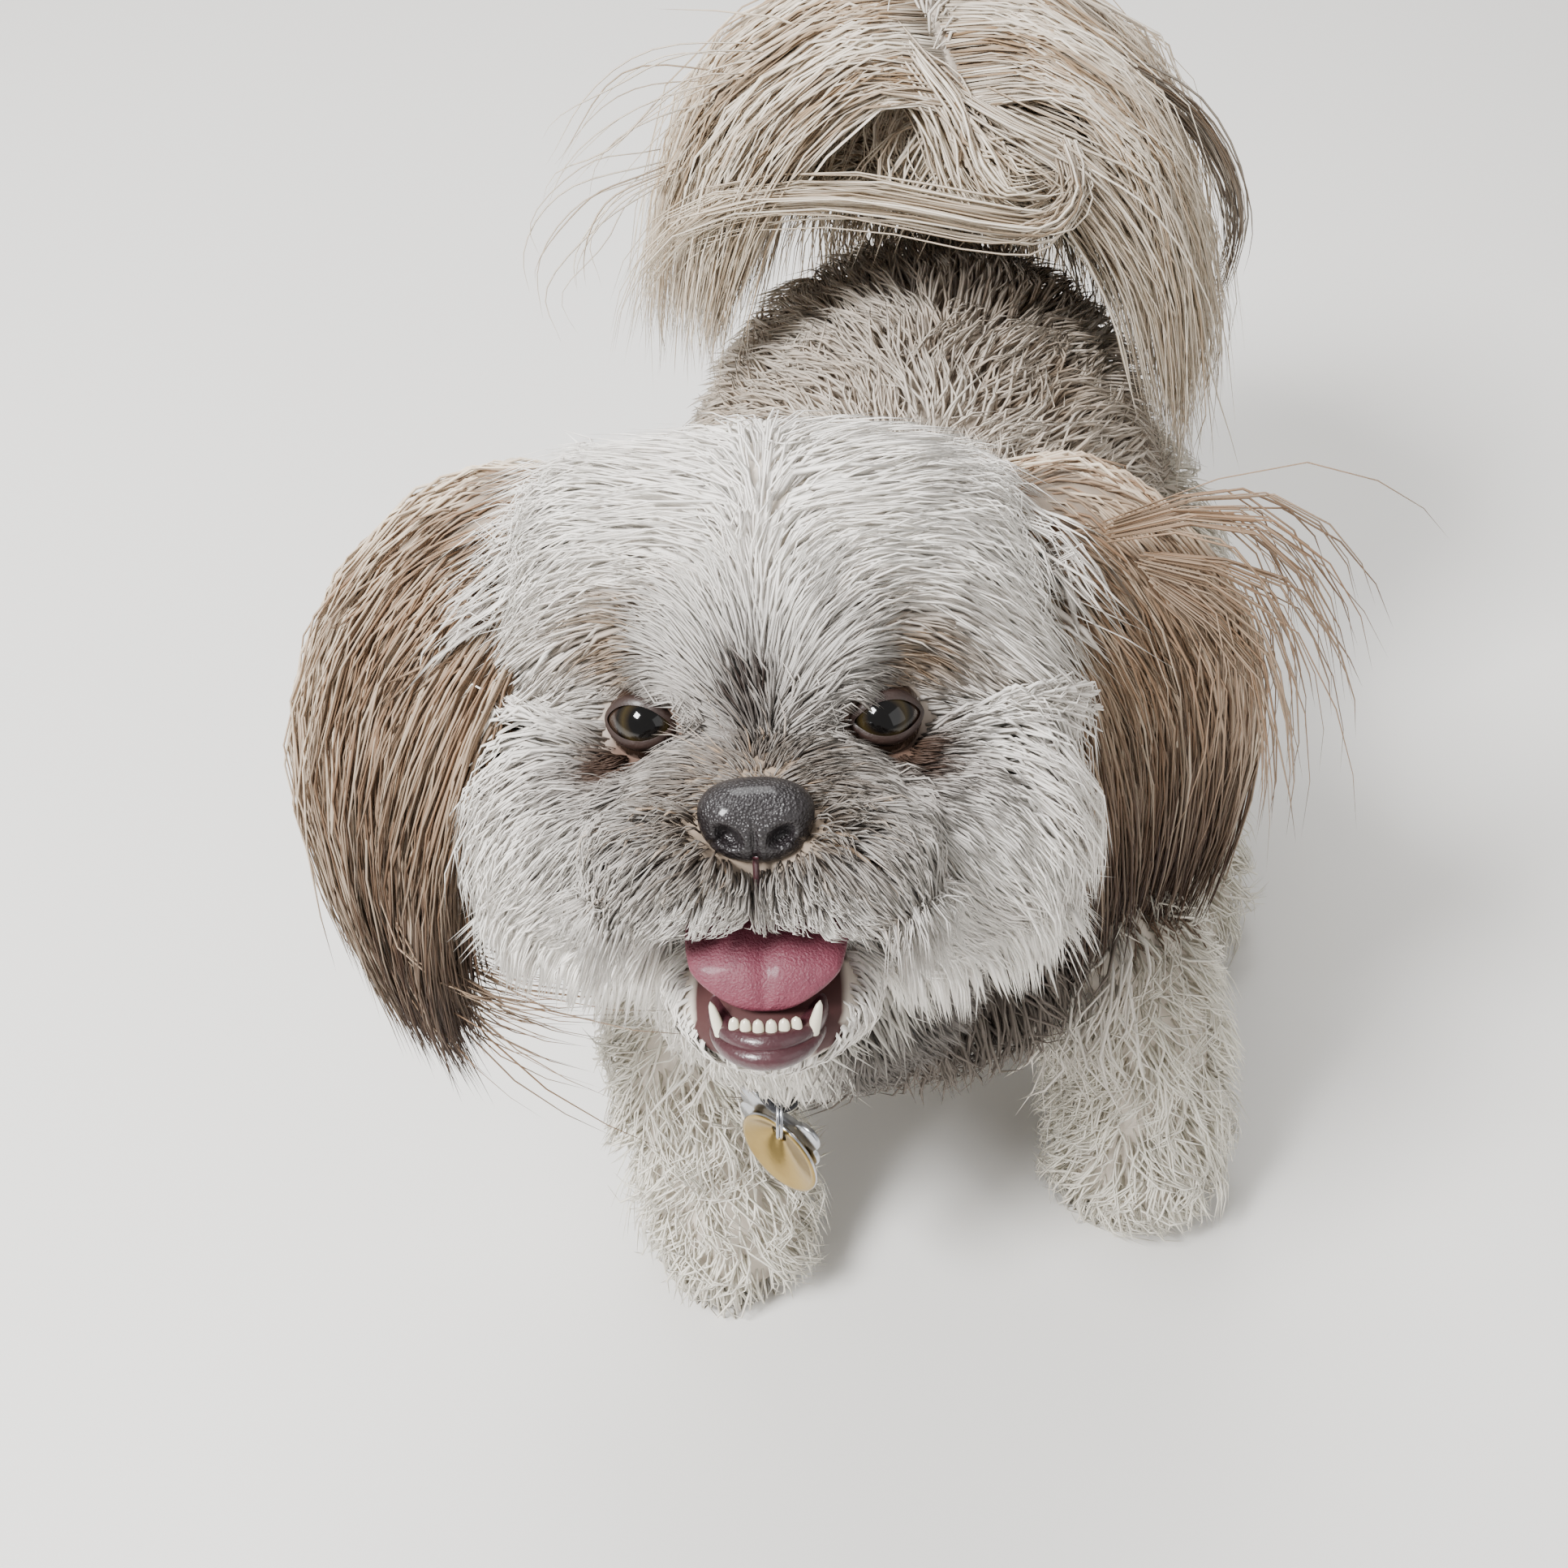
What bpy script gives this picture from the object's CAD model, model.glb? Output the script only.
"""Shih tzu, life size: one skin under a coat of solid hair tufts, with its face, mouth, collar and tags.

Shapes are worked out in millimetres in the dog's own frame, which looks along -Y with its left at +X,
and are moved into the row frame, in metres, when their meshes are made.
"""

import logging
import math
from dataclasses import dataclass, field
from enum import Enum
from typing import Callable, Optional

import bpy
import numpy as np
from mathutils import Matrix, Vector
from mathutils.bvhtree import BVHTree
from mathutils.kdtree import KDTree


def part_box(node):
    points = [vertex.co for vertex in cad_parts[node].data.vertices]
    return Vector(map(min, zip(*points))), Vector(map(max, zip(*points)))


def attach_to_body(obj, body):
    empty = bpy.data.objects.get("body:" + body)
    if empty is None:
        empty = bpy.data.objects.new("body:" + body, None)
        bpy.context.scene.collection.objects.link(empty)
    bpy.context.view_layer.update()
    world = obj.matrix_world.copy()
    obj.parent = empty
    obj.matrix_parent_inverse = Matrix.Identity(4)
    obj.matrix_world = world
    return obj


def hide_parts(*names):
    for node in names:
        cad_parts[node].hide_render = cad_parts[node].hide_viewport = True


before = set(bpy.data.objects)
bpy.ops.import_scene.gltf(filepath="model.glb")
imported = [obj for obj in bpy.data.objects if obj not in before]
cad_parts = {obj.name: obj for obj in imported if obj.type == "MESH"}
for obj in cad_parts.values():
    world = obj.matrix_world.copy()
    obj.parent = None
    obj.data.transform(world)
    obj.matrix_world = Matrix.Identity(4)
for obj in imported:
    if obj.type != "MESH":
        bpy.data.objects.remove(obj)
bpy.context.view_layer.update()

LOG = logging.getLogger("shih_tzu")
MM = 0.001
SEED = 20417
BAKE_MAP = "OFBake"
PATCH = 0.003
FLOOR_CLEAR = 0.6

Array = np.ndarray


class Region(Enum):
    """The parts of the body that the skin and the coat are divided into."""

    TORSO = 0
    NECK = 1
    FORELEG_R = 2
    FORELEG_L = 3
    HINDLEG_R = 4
    HINDLEG_L = 5
    HEAD = 6
    JAW = 7
    TAIL = 8
    EAR_R = 9
    EAR_L = 10


LEGS = (Region.FORELEG_R, Region.FORELEG_L, Region.HINDLEG_R, Region.HINDLEG_L)

STATIONS: dict[Region, list[list[float]]] = {
    Region.TORSO: [
        [7, 141, 188, 40, 38],
        [6, 120, 187, 74, 62],
        [2, 82, 183, 91, 77],
        [-6, 35, 177, 93, 84],
        [-14, -20, 172, 94, 89],
        [-19, -75, 168, 95, 90],
        [-18, -125, 148, 92, 78],
        [-14, -166, 128, 82, 62],
        [-10, -196, 120, 58, 48],
    ],
    Region.NECK: [
        [-26, -100, 160, 60, 80],
        [-40, -128, 176, 72, 94],
        [-52, -154, 196, 70, 92],
        [-61, -172, 226, 62, 70],
        [-64, -180, 248, 50, 50],
    ],
    Region.FORELEG_R: [
        [-78, -124, 168, 26, 42],
        [-87, -138, 128, 33, 44],
        [-89, -158, 90, 34, 38],
        [-83, -174, 52, 33, 35],
        [-77, -184, 22, 36, 38],
        [-76, -188, -9, 36, 39],
    ],
    Region.FORELEG_L: [
        [38, -122, 168, 26, 42],
        [50, -132, 128, 34, 44],
        [62, -144, 90, 36, 39],
        [68, -152, 52, 35, 36],
        [71, -156, 22, 38, 38],
        [72, -158, -9, 38, 39],
    ],
    Region.HINDLEG_R: [
        [-58, 82, 182, 28, 52],
        [-70, 74, 140, 37, 56],
        [-76, 88, 98, 33, 46],
        [-75, 118, 62, 28, 32],
        [-73, 120, 26, 32, 34],
        [-72, 112, -9, 34, 40],
    ],
    Region.HINDLEG_L: [
        [66, 78, 182, 28, 52],
        [80, 54, 142, 37, 54],
        [88, 26, 100, 34, 44],
        [96, 2, 64, 30, 33],
        [103, -24, 30, 33, 34],
        [106, -44, -9, 35, 40],
    ],
    Region.TAIL: [
        [6, 116, 236, 17, 17],
        [6, 152, 272, 15, 15],
        [1, 146, 316, 13, 13],
        [-8, 104, 340, 12, 12],
        [-8, 62, 338, 11, 11],
        [4, 32, 322, 9, 9],
    ],
    Region.EAR_R: [
        [-108, -136, 292, 22, 6],
        [-136, -141, 288, 30, 5.5],
        [-164, -157, 264, 35, 5],
        [-177, -177, 226, 36, 4],
        [-170, -197, 186, 31, 3],
        [-156, -212, 152, 24, 3],
    ],
    Region.EAR_L: [
        [-14, -138, 294, 22, 6],
        [16, -142, 292, 26, 5.5],
        [40, -148, 266, 31, 5],
        [54, -151, 232, 35, 4],
        [58, -151, 180, 31, 3],
        [55, -149, 130, 26, 3],
    ],
}
EAR_ACROSS = {Region.EAR_R: 128.0, Region.EAR_L: 32.0}
EAR_OUTWARD = {Region.EAR_R: -1.0, Region.EAR_L: 1.0}
LEATHER_STATIONS = 4

# Face, in the head's frame: from the tip of the nose, x to the dog's left, y back, z up
NOSE_TIP = (-65.0, -250.0, 290.0)
HEAD_TURNS = (33.0, 4.0, 4.0)
HEAD_MIDDLE = (0.0, 50.0, 4.0)
HEAD_EGGS = (
    (0, 84, 28, 64, 54, 60),
    (0, 70, 36, 46, 38, 34),
    (40, 60, -15, 34, 33, 30),
    (-40, 60, -15, 34, 33, 30),
    (0, 27, -8, 37, 24, 21),
    (17, 15, -14, 19, 15, 14),
    (-17, 15, -14, 19, 15, 14),
)
BLEND_POWER = 14
MOUTH = (0, 26, -34, 27, 30, 14)
JAW = [
    [0, 84, -44, 30, 18],
    [0, 58, -52, 30, 17],
    [0, 36, -57, 27, 14],
    [0, 20, -60, 20, 11],
    [0, 9, -61, 11, 7],
]
TONGUE = [
    [0, 66, -40, 17, 6],
    [0, 44, -34, 19, 7],
    [0, 28, -35, 21, 7],
    [0, 17, -43, 20, 5.5],
    [0, 12.5, -52, 13, 3.5],
]
EYE_SPOT = (30.0, 43.0, 17.0)
EYE_RADIUS = 10.5
NOSE_PAD = (0, 5, -1, 13.8, 8.5, 10)

# Where the photograph was taken from: place, tilt down and focal length in pixels of its 1932 pixel frame
CAMERA_PLACE = (-58.0, -570.0, 622.0)
CAMERA_TILT = 45.0
FOCAL_PIXELS = 2400.0
FRAME_PIXELS = 1932.0
SENSOR = 36.0


def unit(v: Array) -> Array:
    """Scales vectors along the last axis to length one.

    Args:
        v: Vectors.

    Returns:
        The vectors at length one.
    """
    return v / np.maximum(np.linalg.norm(v, axis=-1, keepdims=True), 1e-9)


def turn_about(axis: int, degrees: float) -> Array:
    """Makes a rotation matrix about one axis.

    Args:
        axis: 0, 1 or 2 for x, y or z.
        degrees: The turn.

    Returns:
        The 3x3 matrix.
    """
    c, s = math.cos(math.radians(degrees)), math.sin(math.radians(degrees))
    a, b = [k for k in range(3) if k != axis]
    m = np.eye(3)
    m[a, a], m[b, b] = c, c
    m[a, b], m[b, a] = (s, -s) if axis == 1 else (-s, s)
    return m


HEAD_TURN = turn_about(2, -HEAD_TURNS[1]) @ turn_about(0, -HEAD_TURNS[0]) @ turn_about(1, -HEAD_TURNS[2])


def to_dog(points: Array) -> Array:
    """Moves points from the head's frame to the dog's, in mm."""
    return np.asarray(points, float) @ HEAD_TURN.T + np.array(NOSE_TIP)


def to_head(points: Array) -> Array:
    """Moves points from the dog's frame to the head's, in mm."""
    return (np.asarray(points, float) - np.array(NOSE_TIP)) @ HEAD_TURN


def row_shift() -> Array:
    """Finds where the dog's own frame lies in the row frame, from the two eyes of the solids.

    Returns:
        The shift in metres from the dog's frame to the row frame.
    """
    shifts = []
    for node, sign in (("eye_r", -1.0), ("eye_l", 1.0)):
        low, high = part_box(node)
        middle = (np.array(low) + np.array(high)) / 2
        x, y, z = EYE_SPOT
        shifts.append(middle - to_dog(np.array([sign * x, y, z])) * MM)
    return np.mean(shifts, axis=0)


SHIFT = row_shift()


def to_row(points: Array) -> Array:
    """Moves points from the dog's frame in mm to the row frame in metres."""
    return np.asarray(points, float) * MM + SHIFT


def from_row(points: Array) -> Array:
    """Moves points from the row frame in metres to the dog's frame in mm."""
    return (np.asarray(points, float) - SHIFT) / MM


def spline(points: Array, t: Array) -> Array:
    """Runs a centripetal curve through points.

    Args:
        points: The points to pass, one a row.
        t: Where to read it, 0 at the first point and 1 at the last.

    Returns:
        A row for each t.
    """
    points = np.asarray(points, float)
    at = np.clip(np.asarray(t, float), 0, 1) * (len(points) - 1)
    i = np.minimum(at.astype(int), len(points) - 2)
    w = (at - i)[..., None]
    more = np.vstack([2 * points[0] - points[1], points, 2 * points[-1] - points[-2]])
    p0, p1, p2, p3 = more[i], more[i + 1], more[i + 2], more[i + 3]
    d0, d1, d2 = (
        np.sqrt(np.maximum(np.linalg.norm(b - a, axis=-1, keepdims=True), 1e-6))
        for a, b in ((p0, p1), (p1, p2), (p2, p3))
    )
    m1 = ((p1 - p0) / d0 - (p2 - p0) / (d0 + d1) + (p2 - p1) / d1) * d1
    m2 = ((p2 - p1) / d1 - (p3 - p1) / (d1 + d2) + (p3 - p2) / d2) * d1
    c2 = -3 * p1 + 3 * p2 - 2 * m1 - m2
    c3 = 2 * p1 - 2 * p2 + m1 + m2
    return p1 + m1 * w + c2 * w**2 + c3 * w**3


def smooth(low: float, high: float, value: Array) -> Array:
    """Rises smoothly from 0 at low to 1 at high."""
    x = np.clip((value - low) / (high - low), 0, 1)
    return x * x * (3 - 2 * x)


def bell(points: Array, centre: tuple[float, float, float], size: tuple[float, float, float]) -> Array:
    """A soft spot that is 1 at its centre and fades over its half sizes."""
    return np.exp(-(((points - np.array(centre)) / np.array(size)) ** 2).sum(-1))


def ripple(points: Array, scale: float, phase: float = 0.0) -> Array:
    """A cheap smooth noise from -1 to 1 with features about scale mm across."""
    p = points / scale
    a = np.sin(p[..., 0] * 1.7 + 1.3 * np.sin(p[..., 1] * 1.1 + phase) + phase)
    b = np.sin(p[..., 1] * 1.9 + 1.7 * np.sin(p[..., 2] * 1.3 - phase) + 2 * phase)
    c = np.sin(p[..., 2] * 1.6 + 1.5 * np.sin(p[..., 0] * 1.2 + phase) - phase)
    return (a + b + c) / 3


@dataclass
class Limb:
    """A round-ended body whose section runs through stations: x, y, z, half width, half height."""

    stations: list[list[float]]
    across: tuple[float, float, float] = (1.0, 0.0, 0.0)

    def frames(self, t: Array) -> tuple[Array, Array, Array, Array, Array]:
        """Reads the body's centre line and section.

        Args:
            t: Places along it, 0 to 1.

        Returns:
            Centre, way ahead, side, up and the two half sizes at each place.
        """
        rows = np.array(self.stations, float)
        path = rows[:, :3]
        halves = np.column_stack([rows[:, 3:5], np.zeros(len(rows))])
        step = 1e-3
        ahead = unit(spline(path, t + step) - spline(path, t - step))
        across = np.array(self.across)
        side = unit(across - ahead * (ahead @ across)[..., None])
        return spline(path, t), ahead, side, np.cross(ahead, side), spline(halves, t)[..., :2]

    def surface(self, t: Array, turn: Array, grow: float = 0.0) -> tuple[Array, Array]:
        """Finds points of the surface.

        Args:
            t: Places along the body.
            turn: Turns round it, in radians, from its side towards up.
            grow: How far outside the stations' surface.

        Returns:
            The points and their outward normals.
        """
        centre, _, side, up, half = self.frames(t)
        c, s = np.cos(turn)[..., None], np.sin(turn)[..., None]
        wide, deep = half[..., :1], half[..., 1:]
        normal = unit(side * c * deep + up * s * wide)
        return centre + side * c * (wide + grow) + up * s * (deep + grow), normal

    def solid(
        self, around: int, along: int, grow: float = 0.0, blunt: float = 3.0, floor: Optional[float] = None
    ) -> tuple[Array, list]:
        """Builds the closed body.

        Args:
            around: Faces round the section.
            along: Faces from end to end.
            grow: How far outside the stations' surface.
            blunt: How full its ends are.
            floor: The lowest level that it may reach, if any.

        Returns:
            Its points and faces.
        """
        theta, phi, faces = globe(around, along)
        y = np.cos(theta)
        centre, ahead, side, up, half = self.frames((1 - y) / 2)
        fill = np.maximum(1 - np.abs(y) ** blunt, 0)[:, None] ** (1 / blunt)
        points = centre + ahead * (-y * grow)[:, None]
        points += side * (np.cos(phi)[:, None] * fill * (half[:, :1] + grow))
        points += up * (np.sin(phi)[:, None] * fill * (half[:, 1:] + grow))
        if floor is not None:
            points[:, 2] = np.maximum(points[:, 2], floor)
        return points, faces

    def place(self, points: Array, samples: int = 48) -> tuple[Array, Array, Array]:
        """Finds where points lie along and round the body.

        Args:
            points: Points in the dog's frame.
            samples: How many places along the body are tried.

        Returns:
            Place along, turn round, and the distance out as a share of the section's size.
        """
        t = np.linspace(0, 1, samples)
        centre, ahead, side, up, half = self.frames(t)
        gap = ((points[:, None, :] - centre[None]) ** 2).sum(-1)
        k = gap.argmin(1)
        off = points - centre[k]
        a = (off * side[k]).sum(-1)
        b = (off * up[k]).sum(-1)
        past = np.maximum(np.abs((off * ahead[k]).sum(-1)) - 6, 0)
        share = np.sqrt((a / half[k, 0]) ** 2 + (b / half[k, 1]) ** 2 + (past / half[k].min(-1)) ** 2)
        return t[k], np.arctan2(b, a), share


def globe(around: int, along: int) -> tuple[Array, Array, list]:
    """Lays out a closed globe of quads with a triangle fan at each pole.

    Args:
        around: Faces round it.
        along: Faces from pole to pole.

    Returns:
        The polar angle and the turn of each point, and the faces.
    """
    rings = np.repeat(np.linspace(0, math.pi, along + 1)[1:-1], around)
    turns = np.tile(np.arange(around) * 2 * math.pi / around, along - 1)
    theta = np.concatenate([[0.0], rings, [math.pi]])
    phi = np.concatenate([[0.0], turns, [0.0]])
    last = len(theta) - 1
    faces = []
    for j in range(around):
        n = (j + 1) % around
        faces.append((0, 1 + j, 1 + n))
        for i in range(along - 2):
            a, b = 1 + i * around, 1 + (i + 1) * around
            faces.append((a + j, b + j, b + n, a + n))
        end = 1 + (along - 2) * around
        faces.append((end + j, last, end + n))
    return theta, phi, faces


def egg(form: tuple, grow: float, around: int, along: int) -> tuple[Array, list]:
    """Builds an ellipsoid from its centre and half sizes, larger by grow all round."""
    theta, phi, faces = globe(around, along)
    way = np.column_stack([np.sin(theta) * np.cos(phi), np.cos(theta), np.sin(theta) * np.sin(phi)])
    return np.array(form[:3]) + way * (np.array(form[3:]) + grow), faces


def head_reach(way: Array, power: float = BLEND_POWER, forms: tuple = HEAD_EGGS) -> Array:
    """Finds how far the blended head reaches from its middle along each way, in mm."""
    total = np.zeros(len(way))
    for form in forms:
        size = np.array(form[3:], float)
        start = (np.array(HEAD_MIDDLE) - np.array(form[:3])) / size
        run = way / size
        a = (run**2).sum(-1)
        b = run @ start
        inside = b * b - a * (start @ start - 1)
        far = np.where(inside > 0, (-b + np.sqrt(np.maximum(inside, 0))) / a, 0)
        total += np.maximum(far, 0) ** power
    return total ** (1 / power)


def head_solid(around: int, along: int, grow: float) -> tuple[Array, list]:
    """Builds the blended head in the dog's frame, larger by grow all round."""
    theta, phi, faces = globe(around, along)
    way = np.column_stack([np.sin(theta) * np.cos(phi), np.cos(theta), np.sin(theta) * np.sin(phi)])
    return to_dog(np.array(HEAD_MIDDLE) + way * (head_reach(way) + grow)[:, None]), faces


def limbs() -> dict[Region, Limb]:
    """Makes the limb of every region but the head."""
    made = {}
    for region, rows in STATIONS.items():
        across = math.radians(EAR_ACROSS.get(region, 0.0))
        made[region] = Limb(rows, (math.cos(across), math.sin(across), 0.0))
    jaw = [[*to_dog(np.array(row[:3])), *row[3:]] for row in JAW]
    made[Region.JAW] = Limb(jaw, tuple(HEAD_TURN[:, 0]))
    return made


LIMBS = limbs()


def region_of(points: Array) -> tuple[Array, Array, Array]:
    """Finds the part of the body that each point of the skin belongs to.

    Args:
        points: Points in the dog's frame.

    Returns:
        The region's number, the place along it and the turn round it, for each point.
    """
    depth = {
        Region.TORSO: -12, Region.NECK: -12.5, Region.TAIL: 0, Region.JAW: 0,
        Region.EAR_R: 0, Region.EAR_L: 0,
    }
    best = np.full(len(points), 1e9)
    label = np.zeros(len(points), int)
    along = np.zeros(len(points))
    turn = np.zeros(len(points))
    for region, limb in LIMBS.items():
        t, around, share = limb.place(points)
        _, _, _, _, half = limb.frames(t)
        share = share * half.mean(-1) / np.maximum(half.mean(-1) + depth.get(region, -11), 3)
        closer = share < best
        best[closer], label[closer] = share[closer], region.value
        along[closer], turn[closer] = t[closer], around[closer]
    off = to_head(points) - np.array(HEAD_MIDDLE)
    far = np.linalg.norm(off, axis=-1)
    way = unit(off)
    share = far / head_reach(way) * 0.99
    closer = share < best
    label[closer] = Region.HEAD.value
    along[closer] = (np.arccos(np.clip(way[:, 1], -1, 1)) / math.pi)[closer]
    turn[closer] = np.arctan2(way[:, 2], way[:, 0])[closer]
    return label, along, turn


CHART_COLUMNS = 4
CHART_ROWS = 3
CHART_MARGIN = 0.08


def chart(label: Array, along: Array, turn: Array) -> Array:
    """Places points on the unwrap of the skin, where each region has its own rectangle.

    Args:
        label: Region numbers.
        along: Places along the regions.
        turn: Turns round them, in radians.

    Returns:
        A pair of map coordinates for each point.
    """
    u = (turn / (2 * math.pi)) % 1.0
    keep = 1 - 2 * CHART_MARGIN
    column, row = label % CHART_COLUMNS, label // CHART_COLUMNS
    return np.column_stack([
        (column + CHART_MARGIN + keep * u) / CHART_COLUMNS,
        (row + CHART_MARGIN + keep * along) / CHART_ROWS,
    ])


@dataclass
class Markings:
    """How much of each colour the hair has at its root: mid beige, dark brown and eye stain."""

    mid: Array
    dark: Array
    stain: Array


def markings(points: Array, label: Array, along: Array) -> Markings:
    """Works out the dog's markings, the same for the skin and for the coat that grows on it.

    Args:
        points: Roots in the dog's frame.
        label: Their regions.
        along: Their places along the regions.

    Returns:
        The masks, from 0 to 1.
    """
    x, y, z = points.T
    h = to_head(points)
    hx, _, hz = h.T
    cloud = ripple(points, 22.0)
    fine = ripple(points, 9.0, 1.7)
    trunk = 0.78 + 0.16 * cloud + 0.1 * fine
    front = smooth(-105, -165, y) * smooth(235, 200, z)
    trunk = trunk * (1 - 0.85 * front)
    belly = smooth(118, 92, z)
    trunk = trunk * (1 - 0.5 * belly)
    flank = smooth(30, 80, x) * smooth(150, 60, y) * smooth(120, 160, z)
    middle = -25 + 0.5 * np.maximum(z - 60, 0)
    patch = np.exp(-((np.maximum(np.abs(x - middle) - 12 - 0.08 * np.maximum(z - 60, 0), 0) / 8) ** 2))
    patch *= smooth(-95, -130, y) * smooth(222, 190, z)
    bib = smooth(-54, -40, x) * smooth(24, 4, x) * smooth(-140, -158, y) * smooth(212, 184, z)
    patch = np.maximum(patch, bib)
    brow = bell(h, (-29, 34, 35), (18, 13, 10)) + bell(h, (34, 37, 33), (18, 13, 10))
    temple = smooth(46, 66, np.abs(hx)) * smooth(-12, 22, hz)
    bridge = bell(h, (0, 7, 3), (32, 27, 21))
    corners = bell(h, (35, 8, -21), (12, 16, 10)) + bell(h, (-35, 8, -21), (12, 16, 10))
    tuft = bell(h, (1, 28, 39), (5, 8, 5))
    head = 0.05 + 1.1 * brow + 0.35 * temple + 1.4 * bridge + 0.45 * corners + 0.07 * fine
    head = head * (1 - 0.9 * tuft)
    stain = sum(
        1.3 * bell(h, (sign * 28, 37, 15), (17, 14, 12)) + 0.7 * bell(h, (sign * 32, 38, 5), (12, 12, 8))
        for sign in (-1, 1)
    )
    furrow = 1.3 * bell(h, (-1, 27, 18), (3.4, 9, 7)) + 0.9 * bell(h, (0, -1, -14), (2.4, 8, 7))
    mid = np.full(len(points), 0.12) + 0.06 * fine
    dark = np.zeros(len(points))
    for region, value in ((Region.TORSO, trunk), (Region.NECK, trunk), (Region.HEAD, head)):
        chosen = label == region.value
        mid[chosen] = value[chosen]
    on_trunk = (label == Region.TORSO.value) | (label == Region.NECK.value)
    dark[on_trunk] = (0.34 * flank + 0.9 * patch)[on_trunk]
    on_head = label == Region.HEAD.value
    dark[on_head] = np.clip(furrow * (1 - tuft), 0, 1)[on_head]
    ears = (label == Region.EAR_R.value) | (label == Region.EAR_L.value)
    mid[ears] = 0.85
    dark[ears] = (0.15 + 0.5 * smooth(0.2, 0.9, along))[ears]
    tail = label == Region.TAIL.value
    mid[tail] = (0.5 + 0.25 * cloud)[tail]
    legs = np.isin(label, [leg.value for leg in LEGS])
    mid[legs] = (0.14 + 0.4 * smooth(110, 165, z) + 0.07 * cloud)[legs]
    stain = np.where(on_head, np.clip(stain, 0, 1), 0)
    return Markings(np.clip(mid, 0, 1), np.clip(dark, 0, 1), stain)


def new_mesh(
    name: str, points: Array, faces: list, finish: Optional[bpy.types.Material] = None
) -> bpy.types.Object:
    """Makes a mesh object from points in the dog's frame.

    Args:
        name: The piece's name.
        points: Its points, in mm.
        faces: Its faces.
        finish: Its material, if it has one yet.

    Returns:
        The object, linked and smooth shaded.
    """
    mesh = bpy.data.meshes.new(name)
    mesh.from_pydata(to_row(points).tolist(), [], [tuple(f) for f in faces])
    mesh.polygons.foreach_set("use_smooth", [True] * len(mesh.polygons))
    made = bpy.data.objects.new(name, mesh)
    bpy.context.scene.collection.objects.link(made)
    if finish:
        mesh.materials.append(finish)
    return made


def merge(solids: list[tuple[Array, list]]) -> tuple[Array, list]:
    """Puts several solids into one list of points and faces."""
    points, faces, count = [], [], 0
    for vertices, polygons in solids:
        points.append(np.asarray(vertices, float))
        faces += [tuple(i + count for i in face) for face in polygons]
        count += len(vertices)
    return np.vstack(points), faces


def point_attribute(mesh: bpy.types.Mesh, name: str, values: Array) -> None:
    """Stores one number for each point of a mesh under a name."""
    made = mesh.attributes.new(name, "FLOAT", "POINT")
    made.data.foreach_set("value", np.asarray(values, np.float32))


def apply_modifiers(made: bpy.types.Object) -> None:
    """Replaces an object's mesh by the result of its modifiers."""
    graph = bpy.context.evaluated_depsgraph_get()
    result = bpy.data.meshes.new_from_object(made.evaluated_get(graph))
    made.modifiers.clear()
    made.data = result


def attach(made: bpy.types.Object, slot: str, *nodes: str) -> None:
    """Lets a piece ride the dog's one body and stand for CAD nodes.

    Args:
        made: The piece.
        slot: The record's material slot of its finish.
        nodes: The nodes that it replaces, if any.
    """
    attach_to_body(made, "root")
    if nodes:
        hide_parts(*nodes)


Socket = bpy.types.NodeSocket


class Nodes:
    """A small helper that adds nodes to one node tree."""

    def __init__(self, tree: bpy.types.NodeTree) -> None:
        """Keeps the tree that nodes are added to."""
        self.tree = tree

    def add(self, kind: str, inputs: Optional[dict] = None, **settings: object) -> bpy.types.Node:
        """Adds a node.

        Args:
            kind: The node's type.
            inputs: Values or sockets for its inputs, by name or number.
            settings: Its own settings.

        Returns:
            The node.
        """
        node = self.tree.nodes.new(kind)
        for key, value in settings.items():
            setattr(node, key, value)
        for key, value in (inputs or {}).items():
            if isinstance(value, bpy.types.NodeSocket):
                self.tree.links.new(value, node.inputs[key])
            else:
                node.inputs[key].default_value = value
        return node

    def math(self, operation: str, *values: object) -> Socket:
        """Adds a Math node and gives its output."""
        return self.add("ShaderNodeMath", dict(enumerate(values)), operation=operation).outputs[0]

    def mix(self, factor: object, low: object, high: object, blend: str = "MIX") -> Socket:
        """Mixes two colours by a factor and gives the result."""
        node = self.add("ShaderNodeMix", data_type="RGBA", blend_type=blend)
        for index, value in ((0, factor), (6, low), (7, high)):
            if isinstance(value, bpy.types.NodeSocket):
                self.tree.links.new(value, node.inputs[index])
            else:
                node.inputs[index].default_value = value
        return node.outputs[2]

    def attribute(self, name: str) -> Socket:
        """Reads a named number of the mesh."""
        return self.add("ShaderNodeAttribute", attribute_name=name).outputs["Fac"]


def new_group(
    name: str, inputs: list[tuple[str, str, object]], outputs: list[tuple[str, str]]
) -> bpy.types.NodeTree:
    """Makes an empty shader node group.

    Args:
        name: Its name.
        inputs: Name, socket type and default of each input.
        outputs: Name and socket type of each output.

    Returns:
        The group with its input and output nodes.
    """
    group = bpy.data.node_groups.new(name, "ShaderNodeTree")
    for label, kind, default in inputs:
        socket = group.interface.new_socket(name=label, in_out="INPUT", socket_type=kind)
        socket.default_value = default
    for label, kind in outputs:
        group.interface.new_socket(name=label, in_out="OUTPUT", socket_type=kind)
    group.nodes.new("NodeGroupInput")
    group.nodes.new("NodeGroupOutput")
    return group


COLOUR, NUMBER = "NodeSocketColor", "NodeSocketFloat"
Colour = tuple[float, float, float, float]


def shade(code: str) -> Colour:
    """Turns a colour's hex code into linear light."""
    parts = [int(code[k : k + 2], 16) / 255 for k in (0, 2, 4)]
    return (*[c / 12.92 if c <= 0.04045 else ((c + 0.055) / 1.055) ** 2.4 for c in parts], 1.0)


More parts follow.
